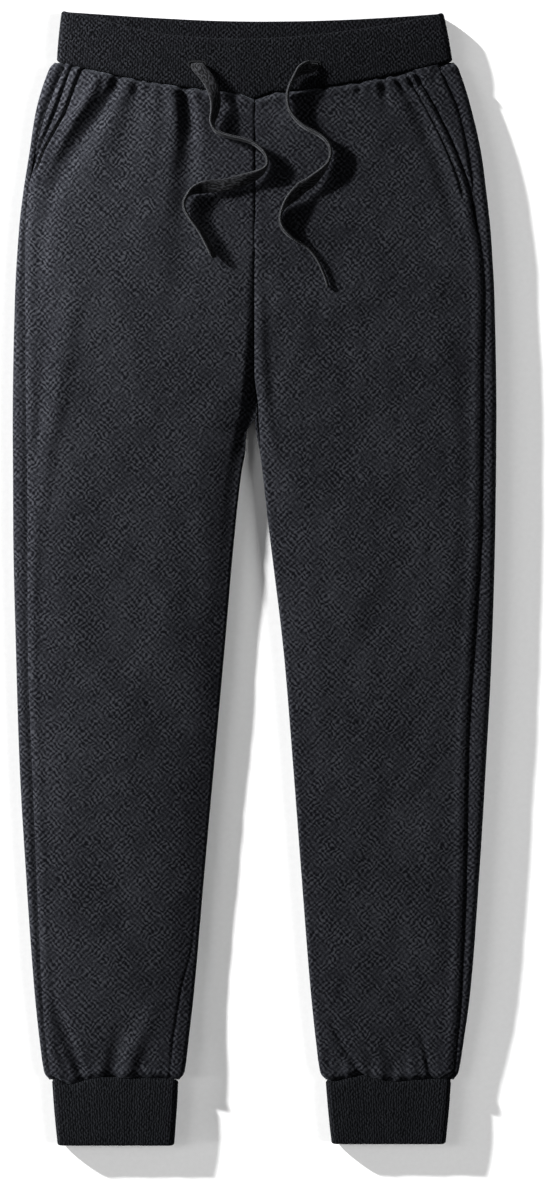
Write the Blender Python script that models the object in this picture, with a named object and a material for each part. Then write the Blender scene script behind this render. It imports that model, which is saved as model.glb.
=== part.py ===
"""Jogger sweatpants lying flat on a table, front side up.

The frame is in metres: +Z rises from the table, +Y runs from the cuffs to the waist, and the
origin lies on the table under the middle of the garment. The sizes below are millimetres.

Each half of the garment is a tube of fleece pressed flat. A closed line round the tube is worked
out at every height: over the front, round the outer fold, and back along the table. The panels
are stretches of that line between seams, thickened inwards. Waistband and cuffs are pressed
loops of rib knit, and the drawcord is two free ends of flat tape.
"""

import functools
import math
from collections import namedtuple

import bmesh
import bpy
import numpy as np

MM = 0.001
SEAM_GAP = 0.3
SHARP_DEGREES = 50

# Cloth thicknesses
FLEECE_WALL = 3.0
FACING_WALL = 2.0
WAISTBAND_WALL = 4.6
CUFF_WALL = 4.0

# The pressed tube
FOLD_RADIUS = 5.0
FOLD_EASE = 90.0
SIDE_RISE = 38.0
CROTCH_Y = 136.0
CROTCH_TURN = 34.0
LEAST_TOP = 2 * FLEECE_WALL + 0.8

# How much fuller or thinner the folds are between waist and cuff: at the inseam, at the side
FOLD_CHANGES = {"left": (-1.2, 0.0), "right": (0.0, 1.0)}

# Faceting of the panels
INSEAM_STEP = FOLD_RADIUS * math.pi / 6
INSEAM_STEPS = 3
FRONT_COLUMNS = 11
FOLD_COLUMNS = 6
UNDER_COLUMNS = 4
SEAM_LEVEL = 4.0
LINE_POINTS = 240
INSEAM_POINTS = 24
FOLD_POINTS = 48

# Waist
WAIST_SEAM_SIDE_Y = 439.0
WAIST_SEAM_DROP = 27.0
WAIST_SEAM_REACH = 167.0
WAIST_SEAM_POWER = 1.6
WAIST_EASE = 89.0
EASE_STEPS = 6
WAIST_UNDER_GAP = 0.6
WAIST_TOP_Y = 480.5
WAIST_TOP_CENTRE = -1.8
WAIST_TOP_HALF = 162.6
WAIST_SEAM_HALF = 168.4
WAIST_FOLD_RADIUS = 5.2

# Steps of a pressed loop: over its front, round each fold, underneath, and from seam to edge
LoopSteps = namedtuple("LoopSteps", "front fold under rows")
WAISTBAND_STEPS = LoopSteps(20, 5, 8, 4)
CUFF_STEPS = LoopSteps(8, 5, 6, 3)
BAND_EDGE_STEPS = 4

# Cuffs
CUFF_SEAM_Y = -427.0
CUFF_FOLD_RADIUS = 5.0

# Drawcord
TAPE_WIDTH = 11.0
TAPE_THICKNESS = 2.6
TAPE_POINTS = 48

# Near its tip a tape is narrower: full from one distance to the tip on, and a share at the other
TapeTip = namedtuple("TapeTip", "full_at narrow_at share")
TAPE_TIPS = {"left": TapeTip(3.5, 0.0, 0.8), "right": TapeTip(60.0, 36.0, 0.4)}
BUTTONHOLE_Y = 436.0
BUTTONHOLE_X = {"left": -48.5, "right": 48.9}
BUTTONHOLE_LENGTH = 14.0
BUTTONHOLE_WIDTH = 5.6
BUTTONHOLE_DEPTH = 3.0

# Colours, linear, and how matt the cloth is
FLEECE_COLOUR = (0.028, 0.029, 0.034)
FLEECE_ROUGHNESS = 0.95
RIB_COLOUR = (0.012, 0.0125, 0.0135)
RIB_ROUGHNESS = 0.9
TAPE_COLOUR = (0.014, 0.0145, 0.016)
TAPE_ROUGHNESS = 0.85

# One row per height. outer, side_seam, front_edge and inner are distances from the centre line:
# the outer fold, the side seam that has rolled onto the front, the outer edge of the front panel
# (the pocket mouth, or the side seam below it) and the inseam. crown is the height of the front.
Row = namedtuple("Row", "y outer side_seam front_edge inner crown")
ROWS = {
    "left": [
        Row(439, 170.5, 160.0, 152.5, 0.0, 10.6),
        Row(430, 176.0, 163.5, 156.5, 0.0, 11.2),
        Row(396, 186.3, 177.5, 168.5, 0.0, 12.6),
        Row(359, 192.0, 187.6, 184.0, 0.0, 13.6),
        Row(330, 196.6, 192.2, 192.2, 0.0, 14.0),
        Row(296, 200.5, 194.6, 194.6, 0.0, 14.2),
        Row(236, 204.0, 195.0, 195.0, 0.0, 14.2),
        Row(136, 205.8, 194.0, 194.0, 0.0, 13.6),
        Row(126, 205.8, 193.9, 193.9, 6.0, 13.5),
        Row(106, 205.7, 193.6, 193.6, 8.0, 13.4),
        Row(92, 205.6, 193.4, 193.4, 10.6, 13.3),
        Row(41, 205.4, 193.0, 193.0, 16.4, 13.2),
        Row(-67, 202.9, 192.6, 192.6, 25.9, 13.2),
        Row(-158, 200.0, 189.2, 189.2, 34.1, 12.8),
        Row(-252, 194.5, 185.4, 185.4, 42.6, 12.4),
        Row(-348, 187.6, 181.0, 181.0, 50.9, 11.8),
        Row(-396, 182.6, 177.2, 177.2, 56.2, 11.2),
        Row(-419, 179.2, 173.6, 173.6, 59.2, 10.6),
        Row(-427, 175.0, 169.0, 169.0, 63.5, 10.2),
    ],
    "right": [
        Row(439, 170.0, 155.5, 131.0, 0.0, 10.6),
        Row(430, 174.8, 158.5, 135.5, 0.0, 11.2),
        Row(396, 185.2, 172.8, 154.5, 0.0, 12.4),
        Row(359, 193.2, 181.0, 171.5, 0.0, 13.2),
        Row(330, 197.0, 184.8, 181.6, 0.0, 13.6),
        Row(296, 200.8, 189.6, 188.4, 0.0, 13.8),
        Row(286, 201.5, 191.0, 191.0, 0.0, 13.8),
        Row(236, 204.2, 194.2, 194.2, 0.0, 13.8),
        Row(136, 205.8, 193.2, 193.2, 0.0, 13.4),
        Row(126, 205.7, 193.1, 193.1, 0.8, 13.3),
        Row(106, 205.6, 193.0, 193.0, 4.4, 13.2),
        Row(41, 204.8, 192.0, 192.0, 12.0, 13.0),
        Row(-67, 201.6, 185.2, 185.2, 24.9, 13.0),
        Row(-158, 196.9, 180.4, 180.4, 32.4, 12.6),
        Row(-252, 191.2, 178.8, 178.8, 39.6, 12.2),
        Row(-348, 184.0, 175.0, 175.0, 47.2, 11.6),
        Row(-396, 177.6, 171.2, 171.2, 52.2, 11.0),
        Row(-419, 173.8, 168.4, 168.4, 55.4, 10.6),
        Row(-427, 169.5, 164.0, 164.0, 60.0, 10.2),
    ],
}

# Heights of the panels' rows, close together where the outline turns
PANEL_ROWS = (
    [439, 426, 410, 393, 376, 359, 344, 330, 314, 297, 278, 257, 232, 205, 178, 155, 136]
    + [121, 104, 75, 40, 0, -45, -95, -150, -210, -270, -325, -365, -395, -412, -421, -427]
)

# A pocket facing shows where the side seam and the pocket mouth are at least this far apart. It
# slopes down from the seam, and its last columns lie this far outside or inside the mouth.
FACING_LEAST_SHOWN = 2.6
FACING_SLOPE = (0.0, 0.5)
FACING_TUCK = (1.0, -5.0, -10.0)
FACING_CLEARANCE = 0.7

# The cloth's largest folds, as soft ridges (+) and troughs (-) along a line
Fold = namedtuple("Fold", "x0 y0 x1 y1 half_width start_height end_height")
FOLDS = [
    Fold(-120, 426, -170, 348, 11, -2.4, -1.0),
    Fold(-61, 416, -56, 300, 9, -2.8, -0.6),
    Fold(-102, 405, -88, 300, 26, 1.6, 0.4),
    Fold(-158, 219, -179, 110, 13, 1.4, 1.8),
    Fold(-179, 110, -187, -20, 9, 1.6, 0.6),
    Fold(-8, 200, -4, 140, 9, -1.4, -3.0),
    Fold(-112, -30, -78, -78, 20, -1.4, -1.0),
    Fold(-165, -366, -147, -422, 9, -1.4, -2.4),
    Fold(-92, -376, -114, -422, 9, 0.6, 1.8),
    Fold(131, 406, 179, 314, 12, -2.0, -0.8),
    Fold(110, 428, 110, 400, 8, -1.6, -0.4),
    Fold(28, 190, 12, 128, 14, 1.0, 0.6),
    Fold(118, -10, 92, -70, 22, -1.2, -0.8),
    Fold(72, -386, 90, -422, 8, -1.0, -2.2),
    Fold(135, -380, 148, -422, 8, -1.2, -2.4),
]

# The waistband's top edge: height at the back, and how far the front's edge dips below it
TopPoint = namedtuple("TopPoint", "x back dip")
WAIST_TOP = [
    TopPoint(-166, 482.5, 0.0),
    TopPoint(-134, 480.3, 4.6),
    TopPoint(-80, 476.8, 14.2),
    TopPoint(-21, 474.3, 16.0),
    TopPoint(5, 474.0, 15.5),
    TopPoint(39, 474.3, 13.6),
    TopPoint(78, 475.5, 10.4),
    TopPoint(124, 478.0, 5.8),
    TopPoint(162, 480.8, 0.0),
]

# The cuffs: middle and half width of the pressed loop at its seam and its hem
CuffSize = namedtuple("CuffSize", "seam_centre seam_half hem_centre hem_half hem_y")
CUFFS = {
    "left": CuffSize(-118.6, 53.8, -118.0, 49.6, -482.5),
    "right": CuffSize(113.9, 53.4, 114.1, 48.5, -481.2),
}

# The route of each free end of the drawcord, from inside its buttonhole to the tip. stand is the
# angle at which the tape lies: 0 flat on the cloth, 90 on its edge.
TapePoint = namedtuple("TapePoint", "x y z stand")
TAPES = {
    "left": [
        TapePoint(-48.5, 436.2, 9.2, 0),
        TapePoint(-48.5, 435.8, 11.4, 0),
        TapePoint(-48.3, 434.2, 14.4, 0),
        TapePoint(-41.9, 426.1, 17.2, 8),
        TapePoint(-36.7, 417.3, 19.2, 16),
        TapePoint(-33.8, 409.5, 20.0, 27),
        TapePoint(-32.9, 401.9, 20.2, 42),
        TapePoint(-33.8, 394.3, 20.2, 56),
        TapePoint(-35.8, 386.0, 20.6, 72),
        TapePoint(-33.7, 379.2, 20.5, 86),
        TapePoint(-27.3, 375.6, 20.4, 90),
        TapePoint(-18.9, 373.1, 20.4, 90),
        TapePoint(-7.9, 370.5, 20.4, 90),
        TapePoint(-1.6, 368.0, 20.4, 90),
        TapePoint(4.4, 364.0, 20.4, 90),
        TapePoint(8.6, 359.3, 20.4, 90),
        TapePoint(10.7, 354.2, 20.4, 90),
        TapePoint(10.3, 349.2, 20.4, 90),
        TapePoint(7.3, 344.9, 20.5, 78),
        TapePoint(2.2, 341.3, 20.6, 60),
        TapePoint(-5.4, 338.1, 20.5, 40),
        TapePoint(-14.7, 335.3, 20.1, 24),
        TapePoint(-24.9, 332.4, 19.9, 15),
        TapePoint(-35.9, 331.6, 20.1, 18),
        TapePoint(-45.1, 330.1, 20.5, 36),
        TapePoint(-52.2, 327.6, 20.6, 66),
        TapePoint(-57.1, 323.4, 20.4, 90),
        TapePoint(-59.6, 318.4, 20.4, 90),
        TapePoint(-59.4, 312.5, 20.4, 90),
        TapePoint(-56.6, 307.0, 20.4, 88),
        TapePoint(-52.3, 301.2, 20.6, 80),
        TapePoint(-47.6, 296.0, 20.6, 72),
        TapePoint(-43.6, 290.2, 20.6, 68),
        TapePoint(-40.0, 283.6, 20.5, 66),
        TapePoint(-36.6, 277.0, 20.5, 64),
        TapePoint(-33.8, 271.0, 20.5, 62),
    ],
    "right": [
        TapePoint(48.9, 436.2, 9.2, 0),
        TapePoint(48.9, 435.6, 11.6, 0),
        TapePoint(48.8, 434.0, 14.4, 0),
        TapePoint(45.8, 432.9, 17.0, 20),
        TapePoint(39.5, 430.5, 18.2, 52),
        TapePoint(35.2, 426.0, 19.2, 76),
        TapePoint(32.1, 421.6, 19.6, 88),
        TapePoint(29.4, 415.6, 20.4, 90),
        TapePoint(27.9, 409.7, 20.4, 90),
        TapePoint(27.8, 403.7, 20.4, 90),
        TapePoint(28.9, 397.8, 20.4, 90),
        TapePoint(31.5, 392.6, 20.4, 90),
        TapePoint(35.4, 387.7, 20.4, 90),
        TapePoint(39.9, 383.5, 20.4, 90),
        TapePoint(45.7, 379.7, 20.4, 90),
        TapePoint(51.7, 376.7, 20.4, 90),
        TapePoint(57.2, 373.3, 20.4, 90),
        TapePoint(61.8, 368.6, 20.4, 90),
        TapePoint(64.1, 363.2, 20.4, 90),
        TapePoint(64.1, 357.2, 20.4, 90),
        TapePoint(61.9, 350.9, 20.4, 88),
        TapePoint(57.8, 345.0, 20.6, 72),
        TapePoint(52.5, 339.5, 20.6, 54),
        TapePoint(46.6, 334.4, 20.4, 38),
        TapePoint(40.3, 330.4, 20.2, 30),
        TapePoint(34.3, 324.7, 20.4, 38),
        TapePoint(28.9, 319.2, 20.6, 58),
        TapePoint(24.6, 313.8, 20.5, 80),
        TapePoint(22.2, 308.3, 20.4, 90),
        TapePoint(21.7, 302.4, 20.4, 90),
        TapePoint(23.6, 296.4, 20.4, 90),
        TapePoint(28.0, 291.2, 20.1, 88),
        TapePoint(34.6, 286.4, 18.7, 84),
        TapePoint(42.6, 281.4, 17.2, 80),
        TapePoint(49.0, 275.4, 16.6, 75),
        TapePoint(53.8, 268.4, 16.5, 70),
        TapePoint(57.6, 260.6, 16.5, 66),
        TapePoint(60.4, 253.4, 16.5, 62),
        TapePoint(62.4, 246.4, 16.5, 60),
    ],
}

SIGN = {"left": -1.0, "right": 1.0}


def clear_scene():
    for obj in list(bpy.data.objects):
        bpy.data.objects.remove(obj)


def smoothstep(t):
    t = np.clip(t, 0.0, 1.0)
    return t * t * (3 - 2 * t)


def steady_curve(x, xs, ys):
    """A smooth curve through the points that doesn't overshoot them."""
    xs = np.asarray(xs, float)
    ys = np.asarray(ys, float)
    steps = np.diff(xs)
    rises = np.diff(ys) / steps
    slopes = np.zeros(len(xs))
    slopes[0] = rises[0]
    slopes[-1] = rises[-1]
    alike = rises[:-1] * rises[1:] > 0
    before = np.where(alike, rises[:-1], 1.0)
    after = np.where(alike, rises[1:], 1.0)
    slopes[1:-1] = np.where(alike, 2 * before * after / (before + after), 0.0)
    i = np.clip(np.searchsorted(xs, x) - 1, 0, len(steps) - 1)
    t = (x - xs[i]) / steps[i]
    rest = 1 - t
    ends = ys[i] * (1 + 2 * t) * rest**2 + ys[i + 1] * (1 + 2 * rest) * t**2
    return ends + steps[i] * t * rest * (slopes[i] * rest - slopes[i + 1] * t)


def at_height(side, column, y):
    """One column of the half's table, read at height y."""
    rows = ROWS[side][::-1]
    heights = [row.y for row in rows]
    values = [getattr(row, column) for row in rows]
    return float(steady_curve(np.clip(y, heights[0], heights[-1]), heights, values))


def fold_relief(x, y):
    """Height that the folds add to the front at (x, y)."""
    relief = np.zeros_like(x)
    for fold in FOLDS:
        run = np.array([fold.x1 - fold.x0, fold.y1 - fold.y0])
        along = ((x - fold.x0) * run[0] + (y - fold.y0) * run[1]) / (run @ run)
        along = np.clip(along, 0.0, 1.0)
        off = np.hypot(x - fold.x0 - along * run[0], y - fold.y0 - along * run[1])
        height = fold.start_height + (fold.end_height - fold.start_height) * along
        relief += height * (1 - smoothstep(off / fold.half_width))
    return relief


def inseam_turn(y):
    """Angle by which the inner edge has turned down: 0 at the centre seam, a quarter turn on a leg."""
    return math.pi / 2 * float(smoothstep((CROTCH_Y + CROTCH_TURN - y) / CROTCH_TURN))


def rise_from_edge(distance):
    return 1 - (1 - np.clip(distance / SIDE_RISE, 0.0, 1.0)) ** 2


def fold_radii(side, y):
    """Radius of the fold at the inseam and of the one at the side."""
    below_waist = float(smoothstep((WAIST_SEAM_SIDE_Y - y) / FOLD_EASE))
    above_cuff = float(smoothstep((y - CUFF_SEAM_Y) / FOLD_EASE))
    return [FOLD_RADIUS + change * below_waist * above_cuff for change in FOLD_CHANGES[side]]


def front_height(side, y, across, turn):
    """Height of the front's outer surface, from the inner edge to the outer fold."""
    start, fold_at = across[0], across[-1]
    crown = at_height(side, "crown", y)
    edge = rise_from_edge(fold_at - across)
    edge *= 1 - turn / (math.pi / 2) * (1 - rise_from_edge(across - start))
    folds = fold_relief(SIGN[side] * across, np.full_like(across, y))
    inner_radius, outer_radius = fold_radii(side, y)
    lowest = 2 * np.interp(across, [start, fold_at], [inner_radius, outer_radius])
    top = lowest + (crown - lowest + folds) * edge
    return np.maximum(top, LEAST_TOP)


def arc(centre_across, centre_z, radius, first, last, count):
    """Points round a fold, each with its outward normal; the angle is 0 at the top."""
    angle = np.linspace(first, last, count)
    out = np.column_stack([np.sin(angle), np.cos(angle)])
    return np.hstack([np.array([centre_across, centre_z]) + radius * out, out])


@functools.cache
def section(side, y):
    return Section(side, y)


class Section:
    """The outer line round one half at height y, from the middle of the front to that of the back."""

    def __init__(self, side, y):
        outer = at_height(side, "outer", y)
        inner = at_height(side, "inner", y) + SEAM_GAP / 2
        turn = inseam_turn(y)
        inner_radius, outer_radius = fold_radii(side, y)
        start = inner + inner_radius * math.sin(turn)
        fold_at = outer - outer_radius
        across = np.linspace(start, fold_at, LINE_POINTS)
        top = front_height(side, y, across, turn)
        slope = np.gradient(top, across) * np.clip((across - start) / SEAM_LEVEL, 0.0, 1.0)
        steep = np.hypot(slope, 1.0)
        front = np.column_stack([across, top, -slope / steep, 1.0 / steep])
        inner_z = top[0] - inner_radius
        front_turn = arc(start, inner_z, inner_radius, -turn, 0.0, INSEAM_POINTS)
        outer_turn = arc(fold_at, outer_radius, outer_radius, 0.0, math.pi, FOLD_POINTS)
        back_turn = arc(start, inner_radius, inner_radius, math.pi, math.pi + turn, INSEAM_POINTS)
        self.points = np.concatenate([front_turn[:-1], front, outer_turn[1:], back_turn])
        steps = np.hypot(*np.diff(self.points[:, :2], axis=0).T)
        self.along = np.concatenate([[0.0], np.cumsum(steps)])
        self.length = self.along[-1]
        front_count = INSEAM_POINTS - 1 + LINE_POINTS
        self.under_start = self.along[front_count + FOLD_POINTS - 2]
        self.upper = slice(0, front_count + FOLD_POINTS // 2)
        self.inner_gap = SEAM_GAP * turn / (math.pi / 2)
        self.side_seam = self.reach(at_height(side, "side_seam", y))
        self.front_edge = self.reach(at_height(side, "front_edge", y))

    def reach(self, across):
        """Distance along the line to where its upper side lies that far from the centre."""
        return float(np.interp(across, self.points[self.upper, 0], self.along[self.upper]))

    def point(self, distance, depth):
        """The point that far along the line, and that deep under the outer surface."""
        across, z, out_across, out_z = (np.interp(distance, self.along, c) for c in self.points.T)
        steep = math.hypot(out_across, out_z)
        return across - depth * out_across / steep, z - depth * out_z / steep


def waist_seam_y(x):
    """Height of the seam between waistband and panels."""
    bow = 1 - np.minimum(np.abs(x) / WAIST_SEAM_REACH, 1.0) ** WAIST_SEAM_POWER
    return WAIST_SEAM_SIDE_Y - WAIST_SEAM_DROP * bow


def eased_height(row_y, x):
    """Height of a panel's row at x: the upper rows follow the waist seam's bow."""
    ease = np.clip((row_y - WAIST_SEAM_SIDE_Y + WAIST_EASE) / WAIST_EASE, 0.0, 1.0)
    return row_y - (WAIST_SEAM_SIDE_Y - waist_seam_y(x)) * ease


def cloth_point(side, row_y, place, depth):
    """A point of the cloth: place(section) gives its distance along the section's line."""
    y = row_y
    for _ in range(EASE_STEPS if row_y > WAIST_SEAM_SIDE_Y - WAIST_EASE else 0):
        line = section(side, y)
        across = line.point(place(line), 0.0)[0]
        y = float(eased_height(row_y, across))
    line = section(side, y)
    across, z = line.point(place(line), depth)
    return (SIGN[side] * across, y, z)


def front_places():
    """Columns of a front panel, from the centre seam or inseam to its outer edge."""
    half_gap = SEAM_GAP / 2
    inner = [lambda s, k=k: s.inner_gap + k * INSEAM_STEP for k in range(INSEAM_STEPS)]
    first = INSEAM_STEPS * INSEAM_STEP

    def spread(k):
        part = k / FRONT_COLUMNS
        return lambda s: first + (s.front_edge - half_gap - first) * part

    return inner + [spread(k) for k in range(FRONT_COLUMNS + 1)]


def back_places():
    """Columns of a back panel, from the side seam round the outer fold to the centre or inseam."""
    half_gap = SEAM_GAP / 2
    last = INSEAM_STEPS * INSEAM_STEP

    def round_fold(k):
        part = k / FOLD_COLUMNS
        return lambda s: (s.side_seam + half_gap) * (1 - part) + s.under_start * part

    def under(k):
        part = k / UNDER_COLUMNS
        return lambda s: s.under_start * (1 - part) + (s.length - last) * part

    inner = [lambda s, k=k: s.length - s.inner_gap - k * INSEAM_STEP for k in range(INSEAM_STEPS)]
    folded = [round_fold(k) for k in range(FOLD_COLUMNS)]
    return folded + [under(k) for k in range(UNDER_COLUMNS + 1)] + inner[::-1]


def facing_places():
    """Columns of a pocket facing, as (place, depth): it dips from the side seam under the front."""
    sunk = FLEECE_WALL + FACING_CLEARANCE

    def sloping(part):
        def place(s):
            return (s.side_seam - SEAM_GAP / 2) * (1 - part) + (s.front_edge + FACING_TUCK[0]) * part

        return place

    sloped = [(sloping(part), sunk * part) for part in FACING_SLOPE]
    tucked = [(lambda s, d=d: s.front_edge + d, sunk) for d in FACING_TUCK]
    return sloped + tucked


def cloth(name, colour, roughness):
    made = bpy.data.materials.new(name + "_cloth")
    made.use_nodes = True
    shader = made.node_tree.nodes["Principled BSDF"]
    shader.inputs["Base Color"].default_value = (*colour, 1.0)
    shader.inputs["Roughness"].default_value = roughness
    shader.inputs["Metallic"].default_value = 0.0
    return made


def lofted_solid(name, rings, looped, colour, roughness):
    """A closed mesh through rings of points. Open ends are capped across the cloth's thickness."""
    count = len(rings)
    size = len(rings[0])
    points = [tuple(value * MM for value in point) for ring in rings for point in ring]
    faces = []
    for i in range(count if looped else count - 1):
        here = i * size
        there = (i + 1) % count * size
        for j in range(size):
            k = (j + 1) % size
            faces.append((here + j, here + k, there + k, there + j))
    if not looped:
        for first in (0, (count - 1) * size):
            for j in range(size // 2 - 1):
                k = size - 1 - j
                faces.append((first + j, first + j + 1, first + k - 1, first + k))
    mesh = bpy.data.meshes.new(name)
    mesh.from_pydata(points, [], faces)
    obj = bpy.data.objects.new(name, mesh)
    bpy.context.scene.collection.objects.link(obj)
    face_outwards(mesh)
    mesh.shade_smooth()
    mesh.set_sharp_from_angle(angle=math.radians(SHARP_DEGREES))
    mesh.materials.append(cloth(name, colour, roughness))
    return obj


def face_outwards(mesh):
    shape = bmesh.new()
    shape.from_mesh(mesh)
    bmesh.ops.recalc_face_normals(shape, faces=shape.faces)
    if shape.calc_volume(signed=True) < 0:
        bmesh.ops.reverse_faces(shape, faces=shape.faces)
    shape.to_mesh(mesh)
    shape.free()


def panel(name, side, places, rows, wall):
    """A cloth panel; places is a list of (place, depth of its outer surface)."""
    rings = []
    for row_y in rows:
        outside = [cloth_point(side, row_y, place, depth) for place, depth in places]
        inside = [cloth_point(side, row_y, place, depth + wall) for place, depth in places]
        rings.append(outside + inside[::-1])
    return lofted_solid(name, rings, False, FLEECE_COLOUR, FLEECE_ROUGHNESS)


def make_panels():
    front = [(place, 0.0) for place in front_places()]
    back = [(place, 0.0) for place in back_places()]
    for side in SIGN:
        panel("front_" + side, side, front, PANEL_ROWS, FLEECE_WALL)
        panel("back_" + side, side, back, PANEL_ROWS, FLEECE_WALL)


def facing_shown(side, y):
    return at_height(side, "side_seam", y) - at_height(side, "front_edge", y)


def make_facings():
    for side in SIGN:
        rows = [y for y in PANEL_ROWS if facing_shown(side, y) > FACING_LEAST_SHOWN]
        panel("pocket_facing_" + side, side, facing_places(), rows, FACING_WALL)


def loop_stations(half_width, radius, steps):
    """Stations round a pressed loop, each with the middle of its bend and the angle round it."""
    flat = half_width - radius
    right = np.linspace(0, math.pi, steps.fold + 1)
    stations = [(x, 0.0) for x in np.linspace(-flat, flat, steps.front + 1)]
    stations += [(flat, angle) for angle in right[1:]]
    stations += [(x, math.pi) for x in np.linspace(flat, -flat, steps.under + 1)[1:]]
    stations += [(-flat, math.pi + angle) for angle in right[1:-1]]
    return stations


def loop_profile(wall, seam_y, fold_y, rows):
    """Section of a folded rib band as (y, depth): up its outside, over the fold, down its inside."""
    half_wall = math.copysign(wall / 2, fold_y - seam_y)
    straight = fold_y - half_wall
    heights = np.linspace(seam_y, straight, rows)
    over = [
        (straight + half_wall * math.sin(angle), wall / 2 * (1 - math.cos(angle)))
        for angle in np.linspace(0, math.pi, BAND_EDGE_STEPS + 1)[1:-1]
    ]
    outside = [(y, 0.0) for y in heights]
    inside = [(y, wall) for y in heights[::-1]]
    return outside + over + inside


def band(name, size, wall, radius, steps, seam_line, fold_line):
    """A pressed loop of rib. size(y) gives its middle and half width; seam_line and fold_line give
    the height of its two edges at x, with facing 1 on the front and 0 underneath."""
    seam_half = size(seam_line(0.0, 1.0))[1]
    rings = []
    for flat_x, angle in loop_stations(seam_half, radius, steps):
        facing = (1 + math.cos(angle)) / 2
        share = (flat_x + radius * math.sin(angle)) / seam_half
        seam_y = edge_height(size, share, facing, seam_line)
        fold_y = edge_height(size, share, facing, fold_line)
        ring = []
        for y, depth in loop_profile(wall, seam_y, fold_y, steps.rows):
            centre, half_width = size(y)
            flat = flat_x * (half_width - radius) / (seam_half - radius)
            across = flat + (radius - depth) * math.sin(angle)
            ring.append((centre + across, y, radius + (radius - depth) * math.cos(angle)))
        rings.append(ring)
    return lofted_solid(name, rings, True, RIB_COLOUR, RIB_ROUGHNESS)


def edge_height(size, share, facing, line):
    """Height of a band's edge where it lies at that share of the band's half width."""
    y = line(0.0, facing)
    for _ in range(EASE_STEPS):
        centre, half_width = size(y)
        y = line(centre + share * half_width, facing)
    return float(y)


def make_waistband():
    def size(y):
        part = (y - WAIST_SEAM_SIDE_Y) / (WAIST_TOP_Y - WAIST_SEAM_SIDE_Y)
        half_width = WAIST_SEAM_HALF + (WAIST_TOP_HALF - WAIST_SEAM_HALF) * part
        return WAIST_TOP_CENTRE * part, half_width

    def seam_line(x, facing):
        return waist_seam_y(x) + SEAM_GAP + (1 - facing**3) * WAIST_UNDER_GAP

    def top_line(x, facing):
        places, backs, dips = zip(*WAIST_TOP)
        x = min(max(x, places[0]), places[-1])
        return steady_curve(x, places, backs) - facing * steady_curve(x, places, dips)

    sizes = (WAISTBAND_WALL, WAIST_FOLD_RADIUS, WAISTBAND_STEPS)
    waistband = band("waistband", size, *sizes, seam_line, top_line)
    for side in SIGN:
        cut_buttonhole(waistband, side)


def cut_buttonhole(waistband, side):
    """A slot in the front of the band that the drawcord comes out of."""
    top = 2 * WAIST_FOLD_RADIUS
    bpy.ops.mesh.primitive_cube_add(size=1.0)
    cutter = bpy.context.object
    cutter.name = "buttonhole_cutter_" + side
    cutter.scale = (BUTTONHOLE_LENGTH * MM, BUTTONHOLE_WIDTH * MM, 2 * BUTTONHOLE_DEPTH * MM)
    cutter.location = (BUTTONHOLE_X[side] * MM, BUTTONHOLE_Y * MM, top * MM)
    cutter.hide_render = True
    cutter.display_type = "WIRE"
    cut = waistband.modifiers.new("buttonhole_" + side, "BOOLEAN")
    cut.operation = "DIFFERENCE"
    cut.object = cutter


def make_cuffs():
    for side, cuff in CUFFS.items():

        def size(y, cuff=cuff):
            part = (CUFF_SEAM_Y - y) / (CUFF_SEAM_Y - cuff.hem_y)
            centre = cuff.seam_centre + (cuff.hem_centre - cuff.seam_centre) * part
            return centre, cuff.seam_half + (cuff.hem_half - cuff.seam_half) * part

        def seam_line(x, facing):
            return CUFF_SEAM_Y - SEAM_GAP

        def hem_line(x, facing, cuff=cuff):
            return cuff.hem_y

        sizes = (CUFF_WALL, CUFF_FOLD_RADIUS, CUFF_STEPS)
        band("cuff_" + side, size, *sizes, seam_line, hem_line)


def tape_route(points):
    """Evenly spaced (x, y, z, stand) along a smooth curve through the tape's own points."""
    table = np.array(points, float)
    steps = np.linalg.norm(np.diff(table[:, :3], axis=0), axis=1)
    along = np.concatenate([[0.0], np.cumsum(steps)])
    slopes = np.gradient(table, along, axis=0)
    places = np.linspace(0.0, along[-1], TAPE_POINTS)
    i = np.clip(np.searchsorted(along, places) - 1, 0, len(steps) - 1)
    t = ((places - along[i]) / steps[i])[:, None]
    rest = 1 - t
    ends = table[i] * (1 + 2 * t) * rest**2 + table[i + 1] * (1 + 2 * rest) * t**2
    return ends + steps[i][:, None] * t * rest * (slopes[i] * rest - slopes[i + 1] * t)


def tape_shares(tip, route):
    """Width of the tape at each point of its route, as a share of its full width."""
    steps = np.linalg.norm(np.diff(route[:, :3], axis=0), axis=1)
    to_tip = np.concatenate([np.cumsum(steps[::-1])[::-1], [0.0]])
    full = smoothstep((to_tip - tip.narrow_at) / (tip.full_at - tip.narrow_at))
    return tip.share + (1 - tip.share) * full


def make_tapes():
    for side, points in TAPES.items():
        name = "drawcord_" + side
        curve = bpy.data.curves.new(name, "CURVE")
        curve.dimensions = "3D"
        curve.twist_mode = "Z_UP"
        curve.bevel_depth = TAPE_THICKNESS / 2 * MM
        curve.extrude = (TAPE_WIDTH - TAPE_THICKNESS) / 2 * MM
        curve.bevel_resolution = 1
        curve.use_fill_caps = True
        route = tape_route(points)
        spline = curve.splines.new("POLY")
        spline.points.add(len(route) - 1)
        shares = tape_shares(TAPE_TIPS[side], route)
        for knot, (x, y, z, stand), share in zip(spline.points, route, shares):
            knot.co = (x * MM, y * MM, z * MM, 1.0)
            knot.tilt = math.radians(90 - stand)
            knot.radius = share
        curve.materials.append(cloth(name, TAPE_COLOUR, TAPE_ROUGHNESS))
        obj = bpy.data.objects.new(name, curve)
        bpy.context.scene.collection.objects.link(obj)


def main():
    clear_scene()
    make_panels()
    make_facings()
    make_waistband()
    make_cuffs()
    make_tapes()


main()
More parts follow.
